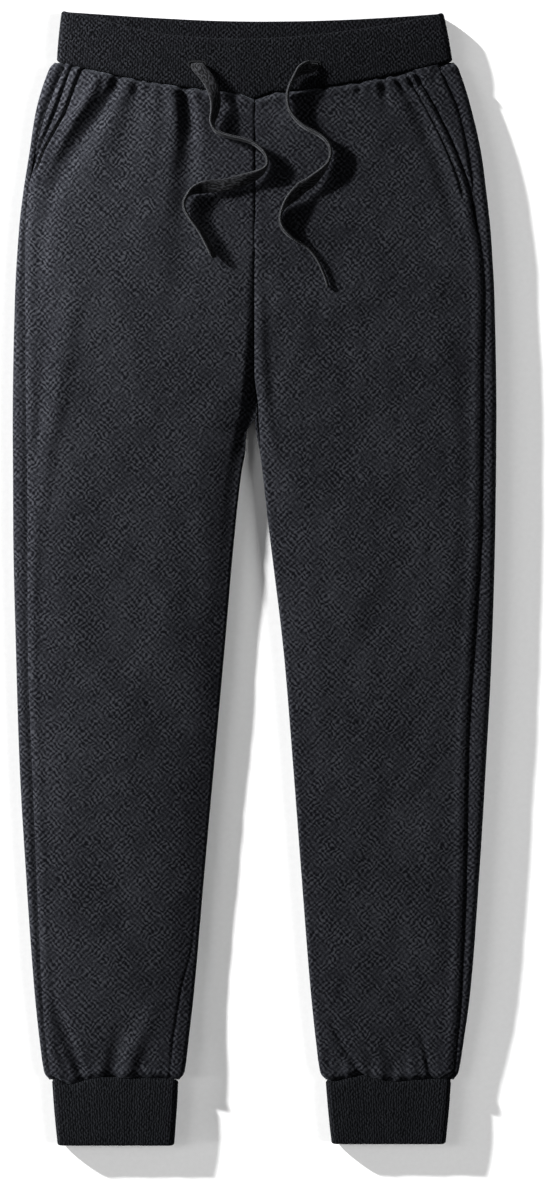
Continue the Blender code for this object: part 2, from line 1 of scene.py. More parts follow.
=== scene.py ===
# %% [markdown]
# # Jogger sweatpants, laid flat
#
# A pair of heavy fleece joggers lies on a white table, front side up. Each half is a tube of
# cloth pressed nearly flat, so the whole job is soft surfaces: four fleece panels, two pocket
# facings, a rib waistband, two rib cuffs and the two free ends of a drawcord.
#
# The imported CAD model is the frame. It already has the right size and place for every piece, and
# each piece made here takes the place of one CAD node.

# %% Load the frame
import math
from collections import namedtuple

import bpy
import numpy as np
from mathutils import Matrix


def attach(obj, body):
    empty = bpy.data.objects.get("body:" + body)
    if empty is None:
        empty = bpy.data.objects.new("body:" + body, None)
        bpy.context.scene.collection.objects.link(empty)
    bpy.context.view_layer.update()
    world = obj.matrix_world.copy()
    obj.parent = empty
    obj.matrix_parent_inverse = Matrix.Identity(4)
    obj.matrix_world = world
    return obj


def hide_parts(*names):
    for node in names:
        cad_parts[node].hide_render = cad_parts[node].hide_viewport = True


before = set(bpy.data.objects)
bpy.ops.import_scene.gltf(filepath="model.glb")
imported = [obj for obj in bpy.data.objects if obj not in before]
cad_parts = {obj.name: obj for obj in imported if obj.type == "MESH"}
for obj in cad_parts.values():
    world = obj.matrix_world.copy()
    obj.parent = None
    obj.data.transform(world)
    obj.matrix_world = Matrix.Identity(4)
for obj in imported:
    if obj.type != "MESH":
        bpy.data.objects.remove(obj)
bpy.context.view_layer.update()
MM = 0.001
SIGN = {"left": -1.0, "right": 1.0}
print("CAD nodes:", ", ".join(sorted(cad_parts)))

# %% [markdown]
# ## The camera
#
# It looks straight down with +Y up in the picture. A long lens a few metres away keeps the
# outline free of perspective, as a lens on a copy stand does. The picture's long side is fitted
# to the sensor's width, which gives the distance.

# %% Camera
PICTURE_LENGTH = 1020.0
PICTURE_CENTRE = (20.8, -18.7)
LENS = 100.0
SENSOR = 36.0
SHARP_LEVEL = 8.0
CLIP_END = 100.0


def link_object(name, data):
    made = bpy.data.objects.new(name, data)
    bpy.context.scene.collection.objects.link(made)
    return made


def make_camera():
    data = bpy.data.cameras.new("camera")
    data.lens = LENS
    data.sensor_width = SENSOR
    data.clip_end = CLIP_END
    made = link_object("camera", data)
    distance = PICTURE_LENGTH * LENS / SENSOR + SHARP_LEVEL
    made.location = np.array([*PICTURE_CENTRE, distance]) * MM
    bpy.context.scene.camera = made
    return made


camera = make_camera()
print("camera height, m:", round(camera.location.z, 3))

# %% [markdown]
# ## Helpers for curves and grids
#
# Everything below is worked out in millimetres as grids of points, then turned into a mesh once.
# That is quicker than editing vertices, and a grid knows where its seams are: they are its first
# and last rows and columns.


# %% Curve helpers
def smoothstep(t):
    t = np.clip(t, 0.0, 1.0)
    return t * t * (3 - 2 * t)


def bell(distance, width):
    """1 at no distance, about a third at that width and next to nothing at twice as much."""
    return np.exp(-((distance / width) ** 2))


def unit(vectors):
    return vectors / np.linalg.norm(vectors, axis=-1, keepdims=True)


def directions_from(ways):
    """Unit vectors ahead, to the right and up for each way that a line takes."""
    ahead = unit(ways)
    side = unit(np.cross(ahead, (0.0, 0.0, 1.0)))
    return ahead, side, np.cross(side, ahead)


def distances_along(points, axis=0):
    """How far each point is from the first of its line, in a line or a grid of points."""
    steps = np.linalg.norm(np.diff(points, axis=axis), axis=-1)
    zero = np.zeros_like(np.take(steps, [0], axis=axis))
    return np.concatenate([zero, np.cumsum(steps, axis=axis)], axis=axis)


def rows_at(places, along, table):
    """Rows of a table, read at places between its own rows."""
    return np.column_stack([np.interp(places, along, column) for column in table.T])


def hermite(x, xs, ys, slopes):
    """The smooth curve that has these heights and slopes at xs, read at x."""
    steps = np.diff(xs)
    i = np.clip(np.searchsorted(xs, x) - 1, 0, len(steps) - 1)
    step = steps[i]
    t = (x - xs[i]) / step
    if ys.ndim == 2:
        t, step = t[:, None], step[:, None]
    rest = 1 - t
    ends = ys[i] * (1 + 2 * t) * rest**2 + ys[i + 1] * (1 + 2 * rest) * t**2
    return ends + step * t * rest * (slopes[i] * rest - slopes[i + 1] * t)


def steady_curve(x, xs, ys):
    """A smooth curve that doesn't overshoot its points, and is level before and after them."""
    xs = np.asarray(xs, float)
    ys = np.asarray(ys, float)
    rises = np.diff(ys) / np.diff(xs)
    alike = rises[:-1] * rises[1:] > 0
    before = np.where(alike, rises[:-1], 1.0)
    after = np.where(alike, rises[1:], 1.0)
    between = np.where(alike, 2 * before * after / (before + after), 0.0)
    slopes = np.concatenate([rises[:1], between, rises[-1:]])
    return hermite(np.clip(x, xs[0], xs[-1]), xs, ys, slopes)


def smooth_route(points, count):
    """Evenly spaced rows along a smooth curve through rows of numbers that start with x, y, z."""
    table = np.array(points, float)
    along = distances_along(table[:, :3])
    slopes = np.gradient(table, along, axis=0)
    return hermite(np.linspace(0.0, along[-1], count), along, table, slopes)


def crowded(count, strength):
    """Shares from 0 to 1 that lie closer together at both ends."""
    share = np.linspace(0.0, 1.0, count)
    return share - strength * np.sin(2 * math.pi * share) / (2 * math.pi)


# %% Mesh helpers
def mesh_object(name, points, faces, material):
    """A smooth mesh of points in mm, which may be in a grid of rows and columns."""
    mesh = bpy.data.meshes.new(name)
    mesh.from_pydata((points.reshape(-1, 3) * MM).tolist(), [], faces)
    mesh.shade_smooth()
    mesh.materials.append(material)
    return link_object(name, mesh)


def grid_faces(rows, columns, loop_rows=False, loop_columns=False, flipped=False):
    """Quads between neighbours in a grid of points that is numbered row by row."""
    down = np.arange(rows if loop_rows else rows - 1)
    over = np.arange(columns if loop_columns else columns - 1)
    row, column = (part.ravel() for part in np.meshgrid(down, over, indexing="ij"))
    next_row = (row + 1) % rows
    next_column = (column + 1) % columns
    ring = [(row, column), (row, next_column), (next_row, next_column), (next_row, column)]
    corners = [r * columns + c for r, c in (ring[::-1] if flipped else ring)]
    return np.column_stack(corners).tolist()


def tube_faces(rows, columns, flipped=False):
    """The faces of a tube made of rings of points, with a cap at each end."""
    first = list(range(columns))
    last = [(rows - 1) * columns + corner for corner in first]
    caps = [first, last[::-1]] if flipped else [first[::-1], last]
    return grid_faces(rows, columns, loop_columns=True, flipped=flipped) + caps


def place_piece(piece, node):
    """The piece takes over a CAD node: it is attached to the root body and the node is hidden."""
    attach(piece, "root")
    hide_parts(node)
    return piece


def add_weave_map(piece, first, second):
    """A UV map in metres, from two numbers for each vertex."""
    layer = piece.data.uv_layers.new(name="Weave")
    corners = np.empty(len(piece.data.loops), np.int32)
    piece.data.loops.foreach_get("vertex_index", corners)
    both = np.column_stack([first[corners], second[corners]]) * MM
    layer.uv.foreach_set("vector", both.astype(np.float32).ravel())


# %% [markdown]
# ## Materials
#
# The cloth's look is in three layers. Heathered fleece is spun from dark and light fibres, so its
# colour jumps from loop to loop: two sets of uneven stripes at 45 degrees both ways give that
# lattice of loops, and a fine noise the fibres on it. A slow noise makes whole areas a little
# lighter or darker, as a brushed nap lies one way and another. The nap itself is the shader's
# sheen, and a bump of the same grain breaks up the light.


# %% Material helpers
SHEEN_ROUGHNESS = 0.45
NOISE_ROUGHNESS = 0.6

# How a material takes the light, and the depth in mm and the strength of its bump
Finish = namedtuple("Finish", "roughness specular sheen sheen_tint depth strength")


def new_material(name, finish):
    """A matt material, with the numbers that are the same all over on the shader itself."""
    made = bpy.data.materials.new(name)
    made.use_nodes = True
    settings = {
        "Roughness": finish.roughness,
        "Specular IOR Level": finish.specular,
        "Sheen Weight": finish.sheen,
        "Sheen Roughness": SHEEN_ROUGHNESS,
        "Sheen Tint": (*finish.sheen_tint, 1.0),
    }
    for socket, value in settings.items():
        made.node_tree.nodes["Principled BSDF"].inputs[socket].default_value = value
    return made


def add_node(material, kind, links=(), **settings):
    """A node with its settings; links names what goes into its sockets."""
    made = material.node_tree.nodes.new(kind)
    for key, value in settings.items():
        setattr(made, key, value)
    for socket, source in dict(links).items():
        if hasattr(source, "is_output"):
            material.node_tree.links.new(source, made.inputs[socket])
        else:
            made.inputs[socket].default_value = source
    return made


def object_place(material):
    return add_node(material, "ShaderNodeTexCoord").outputs["Object"]


def weave_place(material):
    return add_node(material, "ShaderNodeUVMap", uv_map="Weave").outputs["UV"]


def turned_place(material, place, degrees, size=(1.0, 1.0, 1.0)):
    """The place in a texture of that size, which leans by degrees from +Y."""
    links = {"Vector": place, "Rotation": (0.0, 0.0, math.radians(degrees)), "Scale": size}
    turned = add_node(material, "ShaderNodeMapping", links, vector_type="TEXTURE")
    return turned.outputs["Vector"]


def grain(material, place, width, length, degrees, detail=2.0):
    """Noise in streaks of that width and length, in mm, which lean by degrees from +Y."""
    place = turned_place(material, place, degrees, (width * MM, length * MM, width * MM))
    links = {"Vector": place, "Scale": 1.0, "Detail": detail, "Roughness": NOISE_ROUGHNESS}
    return add_node(material, "ShaderNodeTexNoise", links).outputs["Fac"]


def specks(material, place, size, detail=2.0):
    """Noise in round specks of that size, in mm."""
    return grain(material, place, size, size, 0.0, detail)


def mix(material, share, first, second):
    links = {0: share, 2: first, 3: second}
    return add_node(material, "ShaderNodeMix", links).outputs[0]


def math_node(material, operation, first, second):
    links = {0: first, 1: second}
    return add_node(material, "ShaderNodeMath", links, operation=operation).outputs["Value"]


def spread(material, value, low, high, to_low=0.0, to_high=1.0):
    """The value's stretch from low to high, spread over to_low to to_high."""
    links = {"Value": value, "From Min": low, "From Max": high, "To Min": to_low, "To Max": to_high}
    return add_node(material, "ShaderNodeMapRange", links).outputs["Result"]


def colour_ramp(material, value, shades):
    """Shades of colour, each with the value at which it is reached."""
    ramp = add_node(material, "ShaderNodeValToRGB", {"Fac": value})
    elements = ramp.color_ramp.elements
    while len(elements) < len(shades):
        elements.new(0.5)
    for element, (position, colour) in zip(elements, shades):
        element.position = position
        element.color = (*colour, 1.0)
    return ramp.outputs["Color"]


def connect_shader(material, colour, height, finish):
    shader = material.node_tree.nodes["Principled BSDF"]
    material.node_tree.links.new(colour, shader.inputs["Base Color"])
    links = {"Height": height, "Distance": finish.depth * MM, "Strength": finish.strength}
    bump = add_node(material, "ShaderNodeBump", links)
    material.node_tree.links.new(bump.outputs["Normal"], shader.inputs["Normal"])


# %% Fleece
FLEECE_FINISH = Finish(0.95, 0.03, 0.05, (0.8, 0.86, 1.0), 0.4, 0.5)
FLEECE_SHADES = [
    (0.27, (0.0020, 0.0021, 0.0030)),
    (0.5, (0.0108, 0.0113, 0.0138)),
    (0.76, (0.0300, 0.0313, 0.0360)),
]
WAVE_PERIOD = 20 / (2 * math.pi)
STRIPE_DISTORTION = 5.0
STRIPE_DETAIL_SCALE = 1.6
FIBRE = 0.9
PATCH = 9.0

# The nap's slow streaks, as (width, length, degrees from +Y)
NAP = (45.0, 90.0, 20.0)

# Period of the lattice, size of the tufts in which one set of stripes wins, and share of fibres
Knit = namedtuple("Knit", "period tuft fuzz")
FLEECE_KNIT = Knit(3.6, 7.0, 0.25)

# The stretch of each noise that counts, and what it is spread over
TUFT_SPREAD = (0.35, 0.65, 0.25, 0.75)
FIBRE_SPREAD = (0.3, 0.7)
PATCH_SPREAD = (0.38, 0.62, 0.35, 1.0)
NAP_SPREAD = (0.3, 0.7, -0.05, 0.05)


def stripes(material, place, period, degrees):
    """Uneven stripes of that period in mm, which lean by degrees from +Y."""
    links = {
        "Vector": turned_place(material, place, degrees),
        "Scale": 1 / (period * MM * WAVE_PERIOD),
        "Distortion": STRIPE_DISTORTION,
        "Detail": 1.0,
        "Detail Scale": STRIPE_DETAIL_SCALE,
    }
    return add_node(material, "ShaderNodeTexWave", links, bands_direction="X").outputs["Fac"]


def lattice(material, place, knit):
    """Stripes at 45 degrees both ways, which cross in dots. From tuft to tuft one set wins."""
    rising, falling = (stripes(material, place, knit.period, way) for way in (-45.0, 45.0))
    tufts = spread(material, specks(material, place, knit.tuft), *TUFT_SPREAD)
    return mix(material, tufts, rising, falling)


def knit_height(material, place, knit):
    """The lattice, clear in one patch and blurred in the next, with a share of fine fibres."""
    fibres = spread(material, specks(material, place, FIBRE), *FIBRE_SPREAD)
    clear = spread(material, specks(material, place, PATCH, detail=1.0), *PATCH_SPREAD)
    loops = mix(material, clear, 0.5, lattice(material, place, knit))
    return mix(material, knit.fuzz, loops, fibres)


def make_fleece():
    made = new_material("charcoal_fleece", FLEECE_FINISH)
    place = object_place(made)
    height = knit_height(made, place, FLEECE_KNIT)
    nap = spread(made, grain(made, place, *NAP, detail=3.0), *NAP_SPREAD)
    light = math_node(made, "ADD", height, nap)
    connect_shader(made, colour_ramp(made, light, FLEECE_SHADES), height, FLEECE_FINISH)
    return made


fleece = make_fleece()

# %% [markdown]
# The rib of the waistband and cuffs is the same yarn knitted tighter: nearly black, with very
# fine ridges along the leg, which show more on the cuffs. The ridges follow the distance round the
# band, which each band carries in a map of its own, so they turn over its folded edges.

# %% Rib
RIB_FINISH = Finish(0.9, 0.02, 0.02, (0.85, 0.9, 1.0), 0.4, 0.6)
RIB_KNIT = Knit(3.1, 6.0, 0.3)
RIB_STOPS = (0.3, 0.5, 0.74)
WALE = 2.2

# A rib's three shades, and the share that its ridges have in its grain
Rib = namedtuple("Rib", "dark middle light ridges")
WAIST_RIB = Rib((0.0003, 0.0003, 0.0005), (0.0036, 0.0038, 0.0046), (0.0155, 0.0163, 0.0190), 0.2)
CUFF_RIB = Rib((0.0015, 0.0016, 0.0020), (0.0050, 0.0054, 0.0063), (0.0154, 0.0164, 0.0190), 0.4)


def make_rib(name, rib):
    made = new_material(name, RIB_FINISH)
    wales = stripes(made, weave_place(made), WALE, 0.0)
    yarn = knit_height(made, object_place(made), RIB_KNIT)
    height = mix(made, rib.ridges, yarn, wales)
    shades = list(zip(RIB_STOPS, (rib.dark, rib.middle, rib.light)))
    connect_shader(made, colour_ramp(made, height, shades), height, RIB_FINISH)
    return made


waist_cloth = make_rib("black_waist_rib", WAIST_RIB)
cuff_cloth = make_rib("black_cuff_rib", CUFF_RIB)

# %% Woven tape and sewing thread
TAPE_WIDTH = 11.0
TAPE_FINISH = Finish(0.85, 0.1, 0.05, (0.9, 0.93, 1.0), 0.4, 0.6)
TAPE_SHADES = [(0.44, (0.0008, 0.0008, 0.0011)), (0.6, (0.0215, 0.0222, 0.0248))]
TAPE_STREAKS = (0.55, 3.2, -7.0)
# Lighter colour near both edges of the tape is a painted highlight, as where the light catches the
# top of a tape standing on its edge
EDGE_HIGHLIGHT_SHADES = [(0.4, (0.022, 0.023, 0.025)), (0.6, (0.070, 0.072, 0.077))]
EDGE_HIGHLIGHT_WIDTH = 1.3
EDGE_HIGHLIGHT_SPECK = 0.8
THREAD_FINISH = Finish(0.6, 0.1, 0.03, (0.9, 0.95, 1.0), 0.2, 0.5)
THREAD_SHADES = [(0.3, (0.003, 0.0032, 0.0038)), (0.7, (0.010, 0.0106, 0.0122))]
THREAD_TWIST = (0.3, 1.0, -35.0)


def make_tape_cloth():
    """Woven tape with a painted highlight along both edges. Its map goes round it first, so both
    edges lie at multiples of its width.
    """
    made = new_material("black_tape", TAPE_FINISH)
    weave = weave_place(made)
    streaks = grain(made, weave, *TAPE_STREAKS, detail=0.0)
    cloth = colour_ramp(made, streaks, TAPE_SHADES)
    loops = specks(made, weave, EDGE_HIGHLIGHT_SPECK, detail=0.0)
    edge_highlight = colour_ramp(made, loops, EDGE_HIGHLIGHT_SHADES)
    round_tape = add_node(made, "ShaderNodeSeparateXYZ", {0: weave}).outputs["X"]
    from_edge = math_node(made, "PINGPONG", round_tape, TAPE_WIDTH / 2 * MM)
    near_edge = spread(made, from_edge, 0.0, EDGE_HIGHLIGHT_WIDTH * MM, 1.0, 0.0)
    links = {0: near_edge, 6: cloth, 7: edge_highlight}
    colour = add_node(made, "ShaderNodeMix", links, data_type="RGBA").outputs[2]
    connect_shader(made, colour, streaks, TAPE_FINISH)
    return made


def make_thread():
    made = new_material("black_thread", THREAD_FINISH)
    twist = grain(made, object_place(made), *THREAD_TWIST)
    connect_shader(made, colour_ramp(made, twist, THREAD_SHADES), twist, THREAD_FINISH)
    return made


tape_cloth = make_tape_cloth()
thread = make_thread()
cloths = (fleece, waist_cloth, cuff_cloth, tape_cloth, thread)
print("materials:", ", ".join(cloth.name for cloth in cloths))

# %% [markdown]
# ## The drawcord
#
# Two free ends of flat tape come out of the buttonholes and wander over the cloth. Such a tape
# turns onto its edge in the bends, so a round tube would be wrong. Each point of the route has the
# angle at which the tape stands, 0 flat and 90 on its edge, and the mesh is a flat ring swept
# along it.

# %% Drawcord routes
# The middle of each tape, from its buttonhole to its tip, as (x, y, z, angle at which it stands)
TAPES = {
    "left": [
        (-48.5, 436.2, 9.2, 0), (-48.5, 435.8, 11.4, 0), (-48.3, 434.2, 14.4, 0),
        (-41.9, 426.1, 17.2, 8), (-36.7, 417.3, 19.2, 16), (-33.8, 409.5, 20.0, 27),
        (-32.9, 401.9, 20.2, 42), (-33.8, 394.3, 20.2, 56), (-35.8, 386.0, 20.6, 72),
        (-33.7, 379.2, 20.5, 86), (-27.3, 375.6, 20.4, 90), (-18.9, 373.1, 20.4, 90),
        (-7.9, 370.5, 20.4, 90), (-1.6, 368.0, 20.4, 90), (4.4, 364.0, 20.4, 90),
        (8.6, 359.3, 20.4, 90), (10.7, 354.2, 20.4, 90), (10.3, 349.2, 20.4, 90),
        (7.3, 344.9, 20.5, 78), (2.2, 341.3, 20.6, 60), (-5.4, 338.1, 20.5, 40),
        (-14.7, 335.3, 20.1, 24), (-24.9, 332.4, 19.9, 15), (-35.9, 331.6, 20.1, 18),
        (-45.1, 330.1, 20.5, 36), (-52.2, 327.6, 20.6, 66), (-57.1, 323.4, 20.4, 90),
        (-59.6, 318.4, 20.4, 90), (-59.4, 312.5, 20.4, 90), (-56.6, 307.0, 20.4, 88),
        (-52.3, 301.2, 20.6, 80), (-47.6, 296.0, 20.6, 72), (-43.6, 290.2, 20.6, 68),
        (-40.0, 283.6, 20.5, 66), (-36.6, 277.0, 20.5, 64), (-33.8, 271.0, 20.5, 62),
    ],
    "right": [
        (48.9, 436.2, 9.2, 0), (48.9, 435.6, 11.6, 0), (48.8, 434.0, 14.4, 0),
        (45.8, 432.9, 17.0, 20), (39.5, 430.5, 18.2, 52), (35.2, 426.0, 19.2, 76),
        (32.1, 421.6, 19.6, 88), (29.4, 415.6, 20.4, 90), (27.9, 409.7, 20.4, 90),
        (27.8, 403.7, 20.4, 90), (28.9, 397.8, 20.4, 90), (31.5, 392.6, 20.4, 90),
        (35.4, 387.7, 20.4, 90), (39.9, 383.5, 20.4, 90), (45.7, 379.7, 20.4, 90),
        (51.7, 376.7, 20.4, 90), (57.2, 373.3, 20.4, 90), (61.8, 368.6, 20.4, 90),
        (64.1, 363.2, 20.4, 90), (64.1, 357.2, 20.4, 90), (61.9, 350.9, 20.4, 88),
        (57.8, 345.0, 20.6, 72), (52.5, 339.5, 20.6, 54), (46.6, 334.4, 20.4, 38),
        (40.3, 330.4, 20.2, 30), (34.3, 324.7, 20.4, 38), (28.9, 319.2, 20.6, 58),
        (24.6, 313.8, 20.5, 80), (22.2, 308.3, 20.4, 90), (21.7, 302.4, 20.4, 90),
        (23.6, 296.4, 20.4, 90), (28.0, 291.2, 20.1, 88), (34.6, 286.4, 18.7, 84),
        (42.6, 281.4, 17.2, 80), (49.0, 275.4, 16.6, 75), (53.8, 268.4, 16.5, 70),
        (57.6, 260.6, 16.5, 66), (60.4, 253.4, 16.5, 62), (62.4, 246.4, 16.5, 60),
    ],
}
print("points of each tape:", {side: len(points) for side, points in TAPES.items()})

# %% Drawcord
TAPE_THICKNESS = 3.0
TAPE_RINGS = 190
TAPE_RING_POINTS = 20
TAPE_SQUARENESS = 0.6
TAPE_LEAST_THICKNESS = 0.75

# A tape narrows towards its tip: it has its full width at full_at from the tip and farther, and
# a share of it at narrow_at and nearer
TapeTip = namedtuple("TapeTip", "full_at narrow_at share")
TAPE_TIPS = {"left": TapeTip(3.5, 0.0, 0.6), "right": TapeTip(60.0, 36.0, 0.3)}
BUTTONHOLES = {"left": (-48.5, 436.0), "right": (48.9, 436.0)}
BUTTONHOLE_LEVEL = 10.6


def rounded_outline(count, squareness):
    """Points round a closed outline of half size 1, from an ellipse (1) to nearly a box (0)."""
    angle = np.linspace(0.0, 2 * math.pi, count, endpoint=False)
    across = np.sign(np.cos(angle)) * np.abs(np.cos(angle)) ** squareness
    up = np.sign(np.sin(angle)) * np.abs(np.sin(angle)) ** squareness
    return across, up


def tape_rings(middle, stand, narrow):
    """Rings of points round a tape that stands at these angles and is narrow times as wide."""
    ahead, side, up = directions_from(np.gradient(middle, axis=0))
    wide = side * np.cos(stand) + up * np.sin(stand)
    thick = np.cross(ahead, wide)
    thin = np.maximum(narrow, TAPE_LEAST_THICKNESS)
    across, over = rounded_outline(TAPE_RING_POINTS, TAPE_SQUARENESS)
    across = across[None, :, None] * TAPE_WIDTH / 2
    over = over[None, :, None] * TAPE_THICKNESS / 2
    return middle[:, None] + narrow * across * wide[:, None] + thin * over * thick[:, None]


def sweep_tape(name, route, tip):
    """A flat tube along the route, which turns as it says and is slimmer at its sealed tip."""
    middle, stand = route[:, :3], np.radians(route[:, 3:])
    along = distances_along(middle)
    full = smoothstep((along[-1] - along - tip.narrow_at) / (tip.full_at - tip.narrow_at))
    narrow = (tip.share + (1 - tip.share) * full)[:, None, None]
    rings = tape_rings(middle, stand, narrow)
    rows, columns = rings.shape[:2]
    made = mesh_object(name, rings, tube_faces(rows, columns, flipped=True), tape_cloth)
    round_tape = np.tile(np.arange(columns) * (2 * TAPE_WIDTH / columns), rows)
    add_weave_map(made, round_tape, np.repeat(along, columns))
    return made, float(along[-1])


for side_name, points in TAPES.items():
    route = smooth_route(points, TAPE_RINGS)
    tape, tape_length = sweep_tape("tape_" + side_name, route, TAPE_TIPS[side_name])
    place_piece(tape, "drawcord_" + side_name)
    print(tape.name, "length, mm:", round(tape_length, 1))

# %% [markdown]
# ## The pressed tubes
#
# A leg pressed flat still has a shape: the cloth rises from a rounded outer fold to a low crown,
# runs flat across, and on a leg turns down again at the inseam. One table per half says how wide
# and how high that is at each height, and a section line is drawn round it: over the front,
# round the outer fold and back along the table. A panel is a stretch of that line between two
# seams, repeated up the leg.

# %% Section tables
SEAM_GAP = 0.06
WAIST_SEAM_SIDE_Y = 439.0
CUFF_SEAM_Y = -427.0
FOLD_RADIUS = 5.0
FOLD_EASE = 90.0
SIDE_RISE = 38.0
CROTCH_Y = 136.0
CROTCH_TURN = 34.0
LEAST_TOP = 6.8

# How much fuller or thinner the folds are between waist and cuff: at the inseam, at the side
FOLD_CHANGES = {"left": (-1.2, 0.0), "right": (0.0, 1.0)}

LINE_POINTS = 400
INSEAM_POINTS = 40
FOLD_POINTS = 64

# outer, side_seam, front_edge and inner are distances from the centre line: the outer fold, the
# side seam that has rolled onto the front, the outer edge of the front panel (the pocket mouth,
# or the side seam below it) and the inseam. crown is the height of the front.
Columns = namedtuple("Columns", "y outer side_seam front_edge inner crown")
ROWS = {
    "left": [
        (439, 170.5, 160.0, 152.5, 0.0, 10.6), (430, 176.0, 163.5, 156.5, 0.0, 11.2),
        (396, 186.3, 177.5, 168.5, 0.0, 12.6), (359, 192.0, 187.6, 184.0, 0.0, 13.6),
        (330, 196.6, 192.2, 192.2, 0.0, 14.0), (296, 200.5, 194.6, 194.6, 0.0, 14.2),
        (236, 204.0, 195.0, 195.0, 0.0, 14.2), (136, 205.8, 194.0, 194.0, 0.0, 13.6),
        (126, 205.8, 193.9, 193.9, 6.0, 13.5), (106, 205.7, 193.6, 193.6, 8.0, 13.4),
        (92, 205.6, 193.4, 193.4, 10.6, 13.3), (41, 205.4, 193.0, 193.0, 16.4, 13.2),
        (-67, 202.9, 192.6, 192.6, 25.9, 13.2), (-158, 200.0, 189.2, 189.2, 34.1, 12.8),
        (-252, 194.5, 185.4, 185.4, 42.6, 12.4), (-348, 187.6, 181.0, 181.0, 50.9, 11.8),
        (-396, 182.6, 177.2, 177.2, 56.2, 11.2), (-419, 179.2, 173.6, 173.6, 59.2, 10.6),
        (-427, 175.0, 169.0, 169.0, 63.5, 10.2),
    ],
    "right": [
        (439, 170.0, 155.5, 131.0, 0.0, 10.6), (430, 174.8, 158.5, 135.5, 0.0, 11.2),
        (396, 185.2, 172.8, 154.5, 0.0, 12.4), (359, 193.2, 181.0, 171.5, 0.0, 13.2),
        (330, 197.0, 184.8, 181.6, 0.0, 13.6), (296, 200.8, 189.6, 188.4, 0.0, 13.8),
        (286, 201.5, 191.0, 191.0, 0.0, 13.8), (236, 204.2, 194.2, 194.2, 0.0, 13.8),
        (136, 205.8, 193.2, 193.2, 0.0, 13.4), (126, 205.7, 193.1, 193.1, 0.8, 13.3),
        (106, 205.6, 193.0, 193.0, 4.4, 13.2), (41, 204.8, 192.0, 192.0, 12.0, 13.0),
        (-67, 201.6, 185.2, 185.2, 24.9, 13.0), (-158, 196.9, 180.4, 180.4, 32.4, 12.6),
        (-252, 191.2, 178.8, 178.8, 39.6, 12.2), (-348, 184.0, 175.0, 175.0, 47.2, 11.6),
        (-396, 177.6, 171.2, 171.2, 52.2, 11.0), (-419, 173.8, 168.4, 168.4, 55.4, 10.6),
        (-427, 169.5, 164.0, 164.0, 60.0, 10.2),
    ],
}
COLUMNS = {side: Columns(*zip(*rows[::-1])) for side, rows in ROWS.items()}
print("rows of each half:", {side: len(rows) for side, rows in ROWS.items()})


# %% Section lines
def at_height(side, column, y):
    """One column of a half's table, read at height y."""
    return steady_curve(y, COLUMNS[side].y, getattr(COLUMNS[side], column))


def rise_from_edge(distance):
    return 1 - (1 - np.clip(distance / SIDE_RISE, 0.0, 1.0)) ** 2


def fold_radii(side, y):
    """Radius of the fold at the inseam and of the one at the side."""
    below_waist = float(smoothstep((WAIST_SEAM_SIDE_Y - y) / FOLD_EASE))
    above_cuff = float(smoothstep((y - CUFF_SEAM_Y) / FOLD_EASE))
    return [FOLD_RADIUS + change * below_waist * above_cuff for change in FOLD_CHANGES[side]]


def arc(centre_across, centre_z, radius, first, last, count):
    """Points round a fold of the cloth; the angle is 0 at the top."""
    angle = np.linspace(first, last, count)
    turn = np.column_stack([np.sin(angle), np.cos(angle)])
    return np.array([centre_across, centre_z]) + radius * turn


def front_line(side, y, first, last, turned):
    """Rows of (across, z) over the front. turned is 1 where it also bends down at the inseam."""
    across = np.linspace(first, last, LINE_POINTS)
    rise = rise_from_edge(last - across)
    rise *= 1 - turned * (1 - rise_from_edge(across - first))
    lowest = 2 * np.interp(across, [first, last], fold_radii(side, y))
    top = lowest + (at_height(side, "crown", y) - lowest) * rise
    return np.column_stack([across, np.maximum(top, LEAST_TOP)])


class Section:
    """The outer line round one half at height y: over the front, round the fold and back under."""

    def __init__(self, side, y):
        turned = float(smoothstep((CROTCH_Y + CROTCH_TURN - y) / CROTCH_TURN))
        turn = math.pi / 2 * turned
        inner, outer = fold_radii(side, y)
        start = at_height(side, "inner", y) + SEAM_GAP / 2 + inner * math.sin(turn)
        fold_at = at_height(side, "outer", y) - outer
        front = front_line(side, y, start, fold_at, turned)
        front_turn = arc(start, front[0, 1] - inner, inner, -turn, 0.0, INSEAM_POINTS)
        outer_turn = arc(fold_at, outer, outer, 0.0, math.pi, FOLD_POINTS)
        back_turn = arc(start, inner, inner, math.pi, math.pi + turn, INSEAM_POINTS)
        self.points = np.concatenate([front_turn[:-1], front, outer_turn[1:], back_turn])
        self.along = distances_along(self.points)
        front_count = INSEAM_POINTS - 1 + LINE_POINTS
        self.upper = slice(0, front_count + FOLD_POINTS // 2)
        self.under_start = self.along[front_count + FOLD_POINTS - 2]
        self.first = SEAM_GAP * turned
        self.last = self.along[-1] - self.first
        self.side_seam = self.reach(at_height(side, "side_seam", y))
        self.front_edge = self.reach(at_height(side, "front_edge", y))

    def reach(self, across):
        """Distance along the line to where its upper side lies that far from the centre."""
        return float(np.interp(across, self.points[self.upper, 0], self.along[self.upper]))

    def at(self, distances):
        """Rows of (across, z) at these distances along the line."""
        return rows_at(distances, self.along, self.points)


# %% [markdown]
# The waist seam isn't level: it bows down between the sides, dips to a small V where the two
# fronts meet, and the cuff seams waver where the fleece is gathered into them. The panels' rows
# bend to follow these seams, most at the seam and not at all a hand's width away.

# %% Seam lines
WAIST_SEAM_DROP = 27.0
WAIST_SEAM_REACH = 167.0
WAIST_SEAM_POWER = 1.6
WAIST_EASE = 89.0
WAIST_V_DEPTH = 4.5
WAIST_V_HALF = 17.0
CUFF_EASE = 45.0
EASE_STEPS = 5

# Height of the cuff seam on the front, as (x, how far above the level seam)
CUFF_WAVER = {
    "left": [(-175, 0.0), (-169, 1.8), (-157, -3.4), (-142, 0.6), (-126, 2.8), (-110, 2.0),
             (-90, 1.8), (-70, 1.2), (-64, 0.0)],
    "right": [(60, 0.0), (66, -1.0), (90, 4.0), (104, 1.0), (118, -1.4), (140, 0.6), (162, 1.6),
              (169, 0.0)],
}


